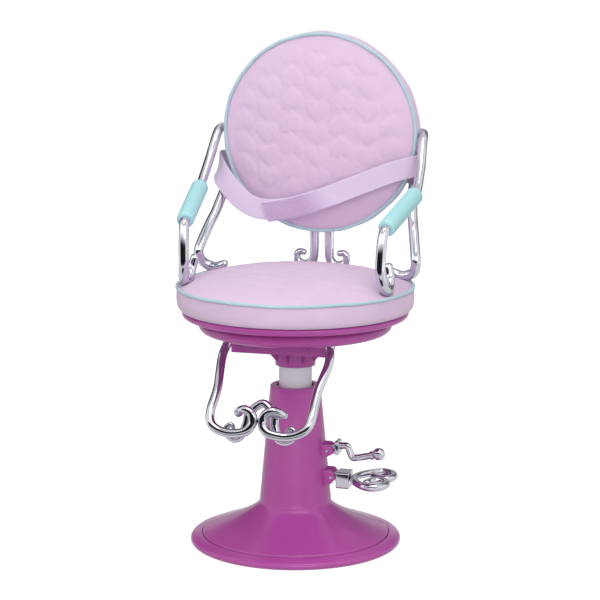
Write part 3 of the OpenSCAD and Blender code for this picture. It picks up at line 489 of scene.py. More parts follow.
TAPE = Finish("belt_web", "belt_tape_look", (215, 196, 223), (208, 188, 217), (0.45, 0.58),
              Texture.RIBS, 420.0, 0.0001, sheen=0.3)
HOOKS = Finish("belt_web", "belt_hooks_look", (200, 173, 206), (178, 147, 186), (0.6, 0.7),
               Texture.LOOPS, 900.0, 0.0004, mottle=900.0, under=TAPE.colour, fade=0.03)
GRIP = Finish("mint_grip", "mint_grip_look", (166, 216, 220), (160, 210, 215), (0.45, 0.55),
              Texture.GRAIN, 1200.0, 0.00008)
CHROME = Finish("plated_tube", "plated_tube_look", (218, 217, 226), (210, 209, 220), (0.05, 0.1),
                Texture.GRAIN, 25.0, 0.00002, metallic=1.0)
FINISHES = (ORCHID, GREY, HIDDEN, RUBBER, STEEL, CLOTH, CORD, TAPE, GRIP, CHROME)


class Body(Enum):
    """Bodies of the frame that pieces ride on."""

    BASE = "base"
    POST = "lift_post"
    SEAT = "seat"
    LEVER = "height_lever"
    PEDAL = "pump_pedal"


def add_object(name: str, data: bpy.types.ID) -> bpy.types.Object:
    """Adds an object to the scene.

    Args:
        name: The object's name.
        data: What it shows.

    Returns:
        The new object.
    """
    made = bpy.data.objects.new(name, data)
    bpy.context.scene.collection.objects.link(made)
    return made


def new_mesh(name: str, skin: Skin) -> bpy.types.Mesh:
    """Makes a mesh in metres.

    Args:
        name: The mesh's name.
        skin: Its points and faces.

    Returns:
        The new mesh.
    """
    mesh = bpy.data.meshes.new(name)
    mesh.from_pydata(skin.points * MM, [], skin.faces)
    return mesh


def add_piece(
    name: str, skin: Skin, finish: Finish, body: Body, *nodes: str, sharp: float = 40.0
) -> bpy.types.Object:
    """Turns a skin into an object that rides on a body and stands for CAD nodes.

    Args:
        name: The object's name.
        skin: Its points and faces.
        finish: Its surface.
        body: The body that it rides on.
        nodes: CAD nodes that it stands for.
        sharp: Edges that bend by more than this many degrees stay crisp.

    Returns:
        The new object.
    """
    mesh = new_mesh(name, skin)
    if skin.flat is not None:
        corners = np.empty(len(mesh.loops), dtype=np.int32)
        mesh.loops.foreach_get("vertex_index", corners)
        mesh.uv_layers.new(name="flat").data.foreach_set("uv", (skin.flat[corners] * MM).ravel())
    mesh.shade_smooth()
    mesh.set_sharp_from_angle(angle=math.radians(sharp))
    mesh.materials.append(finish.material())
    piece = add_object(name, mesh)
    if nodes:
        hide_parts(*nodes)
    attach(piece, body.value)
    log.info("built %s: %d points", name, len(skin.points))
    return piece


def add_pair(node: str, form: str, skin: Skin, finish: Finish) -> None:
    """Adds a piece of the seat's right side and its mirror image on the left, each for a CAD node."""
    for side, half in (("right", skin), ("left", skin.mirrored())):
        add_piece(f"{node}_{side}_{form}", half, finish, Body.SEAT, f"{node}_{side}")


@dataclass
class Pedestal:
    """Flared pedestal with its ring, column, lift tube and the ears that carry the levers."""

    base_r: float = 85.0
    ring_h: float = 8.0
    ring_edge: float = 3.0
    flare_r: float = 75.0
    flare_z: float = 9.2
    flare_sweep: float = 1.5
    flare_edge: float = 1.3
    flare_start: float = 0.018
    flare_steps: int = 72
    flare_inside: int = 50
    seam: Pair = (0.6, 1.6)
    seam_edge: Pair = (0.4, 0.3)
    lip: float = 0.6
    play: float = 0.1
    wall: float = 2.4
    foot_r: float = 29.0
    foot_z: float = 34.0
    collar_r: float = 20.2
    collar_edge: float = 0.9
    height: float = 129.5
    hole_r: float = 15.1
    hole_edge: float = 0.5
    hole_end_z: float = 60.0
    inner_r: float = 62.0
    plate: Pair = (68.1, 2.0)
    tube_r: float = 13.3
    tube_wall: float = 2.0
    tube_ends: Pair = (22.0, 156.7)
    tube_turns: int = 96
    ear_gap: float = 4.4
    ear_t: float = 3.0
    ear_edge: float = 0.5
    ear_corner: float = 1.2
    ear_slope: float = 0.45
    lever_ear: Ear = (28.2, 78.0, 5.0, 5.0)
    pedal_ear: Ear = (31.4, 56.3, 5.8, 3.4)

    def flare(self, t: Array) -> Array:
        """Outside of the flare: the radius falls by a power of the way left, and the height rises evenly.

        Args:
            t: Places from 0 at its edge to 1 at the column.

        Returns:
            Radius and height at each place.
        """
        return np.column_stack([
            self.foot_r + (self.flare_r - self.foot_r) * (1 - t) ** self.flare_sweep,
            self.flare_z + (self.foot_z - self.flare_z) * t])

    def column(self, z: Array | float) -> Array | float:
        """Returns the column's radius at a height."""
        return self.foot_r + (self.collar_r - self.foot_r) * (z - self.foot_z) / (self.height - self.foot_z)

    def build(self) -> None:
        """Adds the shell, the ring, the tube and the ears."""
        add_piece("pedestal_shell", lathe(self._shell()), ORCHID, Body.BASE, "pedestal")
        add_piece("base_ring_ledge", lathe(self._ring()), ORCHID, Body.BASE, "base_ring", sharp=28.0)
        low, high = self.tube_ends
        bore = self.tube_r - self.tube_wall
        tube = np.array([[bore, low], [self.tube_r, low], [self.tube_r, high], [bore, high]])
        add_piece("lift_tube_shaft", lathe(tube, self.tube_turns), GREY, Body.POST, "lift_tube")
        ears = [self._ear(place, side) for place in (self.lever_ear, self.pedal_ear) for side in (-1, 1)]
        add_piece("clevis_ears", joined(ears), ORCHID, Body.BASE)

    def _shell(self) -> Array:
        """Outline of the shell: up from the lip in the seam, over the collar, and down inside the wall.

        Returns:
            Radius and height of each point.
        """
        t = np.linspace(self.flare_start, 1, self.flare_steps)
        inner, edge, collar = t[::-1][:self.flare_inside], self.flare_edge, self.collar_edge
        low = self.ring_h - self.seam[1] + self.play
        rise = np.linspace(self.foot_z, self.height - collar, 24)[1:]
        return np.vstack([
            [[self.flare_r - self.lip, self.ring_h], [self.flare_r - self.lip, low], [self.flare_r, low]],
            arc((self.flare_r - edge, self.flare_z - 0.7 * edge), edge, 0, 68, 8), self.flare(t),
            np.column_stack([self.column(rise), rise]),
            arc((self.collar_r - collar, self.height - collar), collar, 15, 90, 6),
            arc((self.hole_r + self.hole_edge, self.height - self.hole_edge), self.hole_edge, 90, 180, 4),
            [[self.hole_r, self.hole_end_z], [self.column(self.hole_end_z) - self.wall, self.hole_end_z]],
            self.flare(inner) - np.column_stack([np.full(len(inner), self.wall), self.wall * (1 - inner)]),
            [[self.inner_r, self.ring_h]]])

    def _ring(self) -> Array:
        """Outline of the ring: round its outer edge, over its top and down into the seam.

        Returns:
            Radius and height of each point.
        """
        (gap, depth), (plate_r, plate_t), (edge_r, edge_z) = self.seam, self.plate, self.seam_edge
        far, near, top, low = self.flare_r + gap, self.flare_r - self.lip, self.ring_h, self.ring_h - depth
        return np.array([
            [plate_r, 0.0], *arc((self.base_r - self.ring_edge, self.ring_edge), self.ring_edge, -90, 58, 14),
            [far + edge_r, top - edge_z], [far, top - 2 * edge_z], [far - self.play, low],
            [near - self.play, low], [near - 2 * self.play, top], [self.inner_r, top],
            [self.inner_r, plate_t], [plate_r, plate_t]])

    def _ear(self, place: Ear, side: int) -> Skin:
        """One ear: a plate with a blunt nose, standing out of the column along X.

        Args:
            place: Distance and height of the pivot, half the ear's height, and its reach beyond the pivot.
            side: -1 for the front ear, 1 for the rear one.

        Returns:
            The ear's skin.
        """
        x, z, half, nose = place
        root, end, slant = self.column(z) - self.wall, x + nose, self.ear_slope * nose
        corners = [[root, z - half], [x, z - half], [end, z - slant],
                   [end, z + slant], [x, z + half], [root, z + half]]
        grid = slab(rounded(corners, self.ear_corner), self.ear_t, self.ear_edge)
        return grid_skin(to_front(grid) + (0, side * (self.ear_gap + self.ear_t / 2), 0))


@dataclass
class SeatPan:
    """Two-tier dish under the seat, with faint ticks in its groove."""

    bottom_z: float = 174.0
    groove_z: float = 186.0
    top_z: float = 192.0
    bottom_r: float = 71.0
    flat_r: float = 68.0
    belly_r: float = 77.4
    belly_half: float = 70.0
    belly_steps: int = 22
    flange_in: float = 2.0
    flange_r: float = 90.5
    groove: float = 1.6
    neck_in: float = 1.0
    hollow_r: float = 72.8
    floor_t: float = 2.6
    tick_angles: tuple[float, ...] = (-154.4, -103.0, -51.6, -0.2, 51.2, 102.6, 154.0)
    tick_size: Point = (1.4, 0.7, 2.6)
    tick_edge: float = 0.2
    tick_sink: Pair = (0.6, 0.9)

    def build(self) -> None:
        """Adds the dish and its ticks."""
        a = np.radians(np.linspace(-self.belly_half, self.belly_half, self.belly_steps))
        low_h = self.groove_z - self.groove - self.bottom_z
        belly = np.column_stack([
            self.bottom_r + (self.belly_r - self.bottom_r) * np.cos(a),
            self.bottom_z + low_h / 2 * (1 + np.sin(a) / np.sin(a[-1]))])
        neck, edge = self.belly_r - self.groove - self.neck_in, (self.top_z - self.groove_z) / 2
        floor_z = self.bottom_z + self.floor_t
        outside = np.vstack([
            [[AXIS_R, self.bottom_z], [self.flat_r, self.bottom_z]], belly,
            [[neck, self.groove_z - self.groove], [neck, self.groove_z],
             [self.belly_r + self.flange_in, self.groove_z]],
            arc((self.flange_r - edge, self.groove_z + edge), edge, -90, 90, 16),
            [[self.hollow_r, self.top_z], [self.hollow_r, floor_z], [AXIS_R, floor_z]]])
        add_piece("seat_pan_dish", lathe(outside), ORCHID, Body.SEAT, "seat_pan", sharp=35.0)
        add_piece("pan_ticks", joined([self._tick(angle) for angle in self.tick_angles]), ORCHID, Body.SEAT)

    def _tick(self, angle: float) -> Skin:
        """Small upright rib across the groove: a slab carried to its place on the belly.

        Args:
            angle: Where it stands round the pan, in degrees.

        Returns:
            The rib's skin.
        """
        depth, width, height = self.tick_size
        outline = oblong((-depth, -width / 2), (depth / 2, width / 2), self.tick_edge)
        grid = slab(outline, height, self.tick_edge)
        a = math.radians(angle)
        out, side = np.array([math.cos(a), math.sin(a), 0]), np.array([-math.sin(a), math.cos(a), 0])
        middle = (self.belly_r - self.tick_sink[0]) * out + (self.groove_z - self.tick_sink[1]) * UP
        return grid_skin(middle + grid[..., :1] * out + grid[..., 1:2] * side + grid[..., 2:] * UP)


@dataclass
class Hearts:
    """Low puffed hearts in columns, upright and upside down by turns."""

    column: float = 21.0
    row: float = 18.5
    half_w: float = 9.0
    half_h: float = 8.0
    lift: float = 0.1
    puff: float = 0.6
    middle: float = 0.4
    pucker: float = 0.1
    pucker_u: Point = (0.62, 2.2, 0.27)
    pucker_v: Point = (0.55, 1.9, 0.33)
    drift: float = 0.9
    drift_u: Pair = (0.11, 1.3)
    drift_v: Pair = (0.13, 0.4)

    def height(self, u: Array, v: Array) -> Array:
        """Relief: a root of the depth inside x2 + y2 - |x|^(2/3) y = 1, plus waves that pucker the cloth.

        Args:
            u: Place across.
            v: Place upwards.

        Returns:
            The height at each place, about its middle.
        """
        (rate_u, start_u), (rate_v, start_v) = self.drift_u, self.drift_v
        aside, upward = np.sin(rate_u * v + start_u), np.sin(rate_v * u + start_v)
        u, v = u + self.drift * aside, v + self.drift * upward
        column = np.round(u / self.column)
        odd = np.mod(column, 2)
        x = (u - column * self.column) / self.half_w
        shifted = v + odd * self.row / 2
        row = np.round(shifted / self.row)
        y = (shifted - row * self.row) / self.half_h * np.where(odd > 0, -1, 1) + self.lift
        inside = 1 + np.abs(x) ** (2 / 3) * y - x**2 - y**2
        (a, bend_a, slow_a), (b, bend_b, slow_b) = self.pucker_u, self.pucker_v
        pucker = np.sin(a * u + bend_a * np.sin(slow_a * v)) * np.sin(b * v + bend_b * np.sin(slow_b * u))
        return np.clip(inside, 0, 1) ** self.puff + self.pucker * pucker - self.middle


class Facing(Enum):
    """Ways in which a round cushion faces."""

    UP = "up"
    FRONT = "front"


@dataclass
class Stuffing:
    """Cloth simulation of a cushion's cover under the pressure of its filling."""

    voxel: float = 5.0
    pressure: float = 4.0
    frames: int = 20
    shrink: float = 0.97
    cap: float = 2.5
    reach: float = 10.0
    blur: int = 6
    seam: float = 1.0

    def swell(self, name: str, grid: Array, depth: float) -> Array:
        """Blows up a coarse copy of a round cushion and brings its uneven part back to the grid.

        Args:
            name: Name for the objects used on the way.
            grid: Rings by turns by 3, in millimetres.
            depth: Depth of the side below the seam. The cover is held at both its edges.

        Returns:
            Movement of each point of the grid, without the part that is the same all round.
        """
        start = grid * np.array([self.shrink, self.shrink, 1])
        cover = self._remeshed(name, start)
        rest = self._places(cover.data)
        self._pin(cover, depth)
        move = self._simulated(cover) - rest
        length = np.linalg.norm(move, axis=1, keepdims=True)
        capped = rest + move * np.minimum(1, self.cap / np.maximum(length, 1e-6))
        cover.data.vertices.foreach_set("co", capped.ravel() * MM)
        shift = self._wrapped(name, start, cover) - start
        bpy.data.objects.remove(cover)
        shift -= shift.mean(axis=1, keepdims=True)
        for _ in range(self.blur):
            ringwise = np.vstack([shift[:1], shift, shift[-1:]])
            shift = (ringwise[:-2] + ringwise[2:] + np.roll(shift, 1, 1) + np.roll(shift, -1, 1)) / 4
        return shift

    def _places(self, mesh: bpy.types.Mesh) -> Array:
        """Reads where a mesh's points are.

        Args:
            mesh: The mesh, in metres.

        Returns:
            Its points in millimetres, one row each.
        """
        flat = np.empty(3 * len(mesh.vertices), dtype=np.float32)
        mesh.vertices.foreach_get("co", flat)
        return flat.reshape(-1, 3).astype(float) / MM

    def _modified(self, made: bpy.types.Object) -> bpy.types.Mesh:
        """Applies an object's modifiers and takes them off.

        Args:
            made: The object.

        Returns:
            A new mesh of what it looked like with them.
        """
        seen = made.evaluated_get(bpy.context.evaluated_depsgraph_get())
        mesh = bpy.data.meshes.new_from_object(seen)
        made.modifiers.clear()
        return mesh

    def _remeshed(self, name: str, grid: Array) -> bpy.types.Object:
        """Adds an object over a grid with even faces of the voxel size.

        Args:
            name: The cushion's name.
            grid: Rings by turns by 3.

        Returns:
            The new object.
        """
        made = add_object(name + "_cover", new_mesh(name + "_cover", grid_skin(grid)))
        even = made.modifiers.new("even", "REMESH")
        even.mode = "VOXEL"
        even.voxel_size = self.voxel * MM
        made.data = self._modified(made)
        return made

    def _pin(self, cover: bpy.types.Object, depth: float) -> None:
        """Holds the points of a cover near the seam and behind the side.

        Args:
            cover: The cover.
            depth: Depth of the side.
        """
        height = self._places(cover.data)[:, 2]
        held = (np.abs(height) < self.seam) | (height < self.seam - depth)
        cover.vertex_groups.new(name="held").add(np.flatnonzero(held).tolist(), 1.0, "REPLACE")

    def _simulated(self, cover: bpy.types.Object) -> Array:
        """Runs the cloth.

        Args:
            cover: The cover, with the points that are held.

        Returns:
            Where its points end up.
        """
        cloth = cover.modifiers.new("cloth", "CLOTH")
        cloth.settings.vertex_group_mass = "held"
        cloth.settings.use_pressure = True
        cloth.settings.uniform_pressure_force = self.pressure
        cloth.settings.effector_weights.gravity = 0
        cloth.point_cache.frame_start, cloth.point_cache.frame_end = 1, self.frames
        for step in range(1, self.frames + 1):
            bpy.context.scene.frame_set(step)
        return self._places(self._modified(cover))

    def _wrapped(self, name: str, grid: Array, cover: bpy.types.Object) -> Array:
        """Lays a grid on a cover along its own normals.

        Args:
            name: The cushion's name.
            grid: Rings by turns by 3.
            cover: The cover.

        Returns:
            The grid on the cover.
        """
        made = add_object(name + "_wrap", new_mesh(name + "_wrap", grid_skin(grid)))
        wrap = made.modifiers.new("wrap", "SHRINKWRAP")
        wrap.wrap_method = "PROJECT"
        wrap.use_negative_direction = True
        wrap.project_limit = self.reach * MM
        wrap.target = cover
        found = self._places(self._modified(made)).reshape(grid.shape)
        bpy.data.objects.remove(made)
        return found


@dataclass
class Cushion:
    """Round cushion of puffed cloth with a crowned face, and the cord sewn round that face's edge."""

    name: str
    nodes: tuple[str, str]
    facing: Facing
    middle: Point
    seam_r: float
    crown: float
    rear_crown: float
    swell: float
    tuck: float
    relief: float
    side_h: float = 18.0
    seam_in: float = 1.3
    seam_share: float = 0.07
    drop: Pair = (0.9, 2.2)
    corner_r: float = 1.4
    rings: tuple[int, int, int] = (30, 26, 100)
    face_z: float = 0.2
    puff_rim: Pair = (4.0, 12.0)
    loose_rim: Pair = (3.0, 10.0)
    side_in: float = 6.0
    dent_h: float = 0.42
    loose_h: float = 0.22
    loose_side: float = 0.5
    dents: Waves = ((0.35, 5, 0.8), (0.25, 11, 2.1), (0.2, 17, 0))
    foot_reach: float = 40.0
    foot_slope: float = 1.1
    foot_sink: float = 6.0
    cord_r: float = 1.4
    cord_sides: int = 16
    cord_wander: Waves = ((0.18, 9, 1), (0.12, 23, 0))
    cord_lift: Waves = ((0.22, 7, 2), (0.1, 19, 1))
    turns: int = 384
    hearts: Hearts = field(default_factory=Hearts)
    stuffing: Stuffing = field(default_factory=Stuffing)

    def outline(self) -> Array:
        """Outline from the rear face's middle, round the side and over the crown, with the seam drawn in.

        Returns:
            Radius and height of each point, with the seam at height 0.
        """
        rear_rings, side_rings, face_rings = self.rings
        a = np.linspace(0, 1, side_rings)
        side_r = self.seam_r + self.swell * np.sin(np.pi * a**0.7) - self.tuck * (1 - a) ** 3
        side_r = side_r - self.seam_in * bell((1 - a) / self.seam_share)
        corner_r = side_r[0] - self.corner_r
        rear_r = np.linspace(AXIS_R, corner_r, rear_rings)
        rear = np.column_stack([rear_r, -self.side_h - self.rear_crown * (1 - (rear_r / self.seam_r) ** 4)])
        corner = arc((corner_r, self.corner_r - self.side_h), self.corner_r, -75, -15, 4)
        side = np.column_stack([side_r, self.side_h * (a - 1)])[3:]
        face_r = np.linspace(self.seam_r - self.seam_in, AXIS_R, face_rings)
        drop = self.drop[0] * bell((self.seam_r - face_r) / self.drop[1])
        face = np.column_stack([face_r, self.crown * (1 - (face_r / self.seam_r) ** 3) - drop])
        return np.vstack([rear, corner, side, face])

    def build(self, feet: list[tuple[Array, float]]) -> None:
        """Adds the cushion and its cord.

        Args:
            feet: Middle lines and radii of tubes that press into the cushion.
        """
        outline = self.outline()
        grid = turned(outline, self.turns)
        loose = self._on_face(outline, self.loose_rim)
        loose = loose + self.loose_side * self._on_side(outline, self.loose_h)
        grid = grid + loose[..., None] * self.stuffing.swell(self.name, grid, self.side_h)
        grid = self._placed(grid + self._puffs(outline, grid))
        for path, radius in feet:
            grid = self._pressed(grid, path, radius)
        cushion = add_piece(self.name + "_pad", grid_skin(grid), CLOTH, Body.SEAT, self.nodes[0], sharp=80.0)
        add_piece(self.name + "_cord", self._cord(), CORD, Body.SEAT, self.nodes[1])

    def _on_face(self, outline: Array, rim: Pair) -> Array:
        """Returns 1 for each ring of the crown, easing to 0 at a distance inside the seam, over a width."""
        return (outline[:, 1:] > self.face_z) * ease((self.seam_r - rim[0] - outline[:, :1]) / rim[1])

    def _on_side(self, outline: Array, share: float) -> Array:
        """Returns a hump of 1 over the rings at the side's middle, whose width is a share of the side's."""
        hump = bell((outline[:, 1:] + self.side_h / 2) / (share * self.side_h))
        return hump * (outline[:, :1] > self.seam_r - self.side_in)

    def _puffs(self, outline: Array, grid: Array) -> Array:
        """Movement of the grid for the hearts on the crown and the soft dents of the side.

        Args:
            outline: The turned outline.
            grid: Rings by turns by 3, about the cushion's own axis.

        Returns:
            Movement of each point.
        """
        height = self.hearts.height(grid[..., 0], grid[..., 1])
        puff = self.relief * self._on_face(outline, self.puff_rim) * height
        turn = np.arctan2(grid[..., 1], grid[..., 0])
        dent = self._on_side(outline, self.dent_h) * rippled(turn, self.dents)
        return np.stack([dent * np.cos(turn), dent * np.sin(turn), puff], axis=-1)

    def _placed(self, grid: Array) -> Array:
        """Returns points about the cushion's own axis brought to where it stands."""
        return (to_front(grid) if self.facing is Facing.FRONT else grid) + np.array(self.middle)

    def _pressed(self, grid: Array, path: Array, radius: float) -> Array:
        """Lets a tube press into the top: no point stays above the tube's underside, and the cloth slopes in.

        Args:
            grid: Rings by turns by 3.
            path: The tube's middle line.
            radius: Its radius with a little room.

        Returns:
            The pressed grid.
        """
        low = path[path[:, 2] < self.middle[2] + self.crown + 3 * radius]
        flat = grid.reshape(-1, 3)
        apart = np.linalg.norm(flat[:, :2] - low[:, :2].mean(axis=0), axis=1)
        near = np.flatnonzero(apart < self.foot_reach)
        away = np.linalg.norm(flat[near, None, :2] - low[None, :, :2], axis=-1)
        slope = self.foot_slope * np.maximum(away - radius, 0)
        under = (low[:, 2] - np.sqrt(np.maximum(radius**2 - away**2, 0)) + slope).min(axis=1)
        flat[near, 2] = np.minimum(flat[near, 2], np.maximum(under, flat[near, 2] - self.foot_sink))
        return flat.reshape(grid.shape)

    def _cord(self) -> Skin:
        """Round cord along the seam: a circle carried round the axis, which wanders a little.

        Returns:
            The cord's skin.
        """
        a, b = around(self.turns)[:, None], around(self.cord_sides)[None, :]
        r = self.seam_r + rippled(a, self.cord_wander) + self.cord_r * np.cos(b)
        z = rippled(a, self.cord_lift) + self.cord_r * np.sin(b)
        skin = grid_skin(self._placed(np.stack([r * np.cos(a), r * np.sin(a), z], axis=-1)), loop=True)
        return Skin(skin.points, [f[::-1] for f in skin.faces])


@dataclass
class ChromeFrame:
    """Arms with their grips, rear legs and back posts, all of bent tube."""

    tube_r: float = 4.2
    press_r: float = 4.5
    grip_r: float = 7.0
    grip_len: float = 66.0
    grip_edge: float = 2.6
    grip_bore: float = 4.25
    grip_play: Pair = (1.4, 0.6)
    grip_high: Point = (7.4, -47.2, -43.5)
    grip_low: Point = (-0.4, 0.6, 50)
    arm_foot: Point = (82.13, -29.89, 213.85)
    arm_plug: Point = (82.49, 79.0, 325.64)
    arm_curl: Line = (
        (-2.6, 15.6, 17), (-0.8, 13.8, 8.6), (-0.2, 7.8, 1.8), (0, 0, 0), (-1, -7, 4.6), (-2.6, -10.8, 16),
        (-2.4, -10.4, 29), (-2, -8.2, 40.5), (-1.4, -5.8, 46.4))
    arm_bend: Line = (
        (7.6, -41.5, -40), (6.4, -24.5, -22.5), (5.2, -15.6, -10.4), (4.4, -8.6, -2.6), (3, -3, 0),
        (-0.6, -0.2, 0), (-4, 0, -0.07))
    arm_straight: int = 6
    arm_end_r: float = 3.8
    arm_tip: tuple[float, int] = (3.5, 42)
    leg_foot: Point = (79.66, 35.97, 215.35)
    leg_plug: Point = (74.15, 79.0, 288.03)
    leg_low: Line = (
        (-8.4, 0.7, 2.8), (-4, 0.4, 0.6), (0, 0, 0), (5, -0.2, 1.2), (9, -1.8, 4), (11, -4.8, 9),
        (11, -5.4, 16), (6.6, 7, 33.3), (3.5, 16, 43.7))
    leg_high: Line = ((6, -16.5, -15), (4.6, -7.4, -6.2), (3.2, -1.8, -2), (0, 0, 0), (-3.6, 0, 1.75))
    leg_end_r: float = 4.0
    leg_tip: tuple[float, int] = (3.2, 28)
    post_foot: Point = (14.4, 79.0, 213.91)
    post_x: float = 6.4
    post_y: float = 79.0
    post_ends: Pair = (237.95, 245.95)
    curl_middle: Point = (3, -0.2, 6.6)
    curl_angles: tuple[float, ...] = (120, 75, 30, -15)
    post_tip_r: float = 2.6
    post_press_r: float = 3.8
    curl_bend: float = 3.9

    def grip_ends(self) -> tuple[Array, Array]:
        """Finds the arm's straight stretch under the grip.

        Returns:
            Its lower and its upper end.
        """
        high = np.array(self.arm_plug) + self.grip_high
        run = unit(high - np.array(self.arm_foot) - self.grip_low)
        return high - (self.grip_len + self.grip_play[0]) * run, high

    def arm(self) -> Array:
        """Spline along the middle of the right arm, from its curled tip to the back.

        Returns:
            The line's points, one row each.
        """
        low, high = self.grip_ends()
        straight = low + np.linspace(0, 1, self.arm_straight)[:, None] * (high - low)
        curl, bend = np.array(self.arm_foot) + self.arm_curl, np.array(self.arm_plug) + self.arm_bend
        return spline([*curl, *straight, *bend])

    def leg(self) -> Array:
        """Returns the spline along the middle of the right rear leg, from its foot's tip to the back."""
        low, high = np.array(self.leg_foot) + self.leg_low, np.array(self.leg_plug) + self.leg_high
        return spline([*low, *high])

    def post(self) -> Array:
        """Spline along the middle of the right back post, from the curl's tip into the back.

        Returns:
            The line's points, one row each.
        """
        foot, x, y, z = np.array(self.post_foot), self.post_x, self.post_y, self.post_foot[2]
        a = np.radians(self.curl_angles)
        circle = np.column_stack([np.cos(a), np.zeros(len(a)), np.sin(a)])
        curl = foot + self.curl_middle + self.curl_bend * circle
        rise = [foot + (5.3, -0.2, 2), foot, (x + 3.8, y, z + 1.2), (x + 0.8, y, z + 5), (x, y, z + 12)]
        return spline([*curl, *rise, *((x, y, end) for end in self.post_ends)])

    def feet(self) -> list[tuple[Array, float]]:
        """Returns the middle lines and radii of the tubes that press into the seat, on both sides."""
        lines = [(self.arm(), self.press_r), (self.leg(), self.press_r), (self.post(), self.post_press_r)]
        return [(line * (side, 1, 1), radius) for line, radius in lines for side in (1, -1)]

    def build(self) -> None:
        """Adds the tubes and grips of both sides."""
        arm, leg, post = self.arm(), self.leg(), self.post()
        tubes = {"arm": (arm, self._swelled(len(arm), *self.arm_tip, self.arm_end_r)),
                 "rear_leg": (leg, self._swelled(len(leg), *self.leg_tip, self.leg_end_r)),
                 "back_post": (post, np.linspace(self.post_tip_r, self.tube_r, len(post)))}
        for node, (line, radius) in tubes.items():
            add_pair(node, "tube", sweep(line, radius, (True, False)), CHROME)
        add_pair("grip", "sleeve", self._grip(), GRIP)

    def _swelled(self, count: int, tip: float, first: int, last: float) -> Array:
        """Radii that swell from the tip's to the tube's by a quarter of a sine, and then taper evenly.

        Args:
            count: Number of points on the tube's line.
            tip: Radius at the tip.
            first: Number of points over which the tube swells.
            last: Radius at the other end.

        Returns:
            The radius at each point.
        """
        radii = np.linspace(self.tube_r, last, count)
        radii[:first] = tip + (self.tube_r - tip) * np.sin(np.linspace(0, np.pi / 2, first))
        return radii

    def _grip(self) -> Skin:
        """Soft sleeve round the arm's straight stretch: a circle whose radius falls off over both round ends.

        Returns:
            The right grip's skin.
        """
        low, high = self.grip_ends()
        run = unit(high - low)
        middle = high - (self.grip_len / 2 + self.grip_play[1]) * run
        a = np.radians(np.linspace(90, 0, 10))
        end = self.grip_len / 2
        inset = np.concatenate([[0], self.grip_edge * (1 - np.sin(a))])
        radius = np.concatenate([[self.grip_bore], self.grip_r - self.grip_edge * (1 - np.cos(a))])
        along = np.concatenate([-end + inset, end - inset[::-1]])
        return spindle(middle, run, along, np.concatenate([radius, radius[::-1]]))


@dataclass
class Footrest:
    """Two scrolled tubes that hang from the pan, and the arch with outward curls behind them."""

    tube_r: float = 3.6
    scroll_r: float = 3.3
    scroll_tip: float = 1.4
    taper: float = 0.35
    top: Point = (41.2, -47.8, 174.0)
    side: Line = (
        (0, 0, 11), (0, 0, 7), (0, 0, 3.2), (0, 0, -0.6), (0.35, -0.55, -4), (1.4, -3.1, -7.6),
        (1.9, -6.8, -11.2), (1.8, -11.4, -16), (0.2, -20.8, -24), (-1.2, -29.6, -32), (-1.2, -37.7, -39),
        (-0.8, -45.8, -46), (-1.8, -51.6, -52.6), (-5.6, -55.4, -57.2), (-12, -56.8, -60.2),
        (-21.2, -58.2, -61.2), (-32.6, -59.2, -58.6), (-37.35, -56, -52.4), (-36.25, -54, -46.8),
        (-31.4, -53, -43.4), (-26.8, -50.4, -44.4), (-23.4, -47.4, -47.2))
    arch_top: Point = (0.0, -89.0, 133.6)
    arch_half: Line = (
        (9.4, -4, -7), (11.4, -7.2, -15.5), (15, -10.2, -24), (20.2, -10.4, -26.6), (24.8, -9.2, -25),
        (27.2, -8, -21.4), (26.4, -7, -18), (23.7, -6.6, -16.7), (21.7, -6.6, -18.4), (22, -6.6, -20.8))

    def build(self) -> None:
        """Adds both sides and the arch, which tapers towards its two tips."""
        side = spline(np.array(self.top) + self.side)
        add_pair("footrest", "tube", sweep(side, self.tube_r, (False, True)), CHROME)
        half = np.array(self.arch_half)
        arch = spline(np.vstack([half[::-1] * (-1, 1, 1), [(0, 0, 0)], half]) + np.array(self.arch_top))
        inward = np.minimum(np.arange(len(arch)), np.arange(len(arch))[::-1]) / (self.taper * len(arch))
        radius = self.scroll_tip + (self.scroll_r - self.scroll_tip) * np.minimum(inward, 1)
        add_piece("footrest_scroll_tube", sweep(arch, radius), CHROME, Body.SEAT, "footrest_scroll")


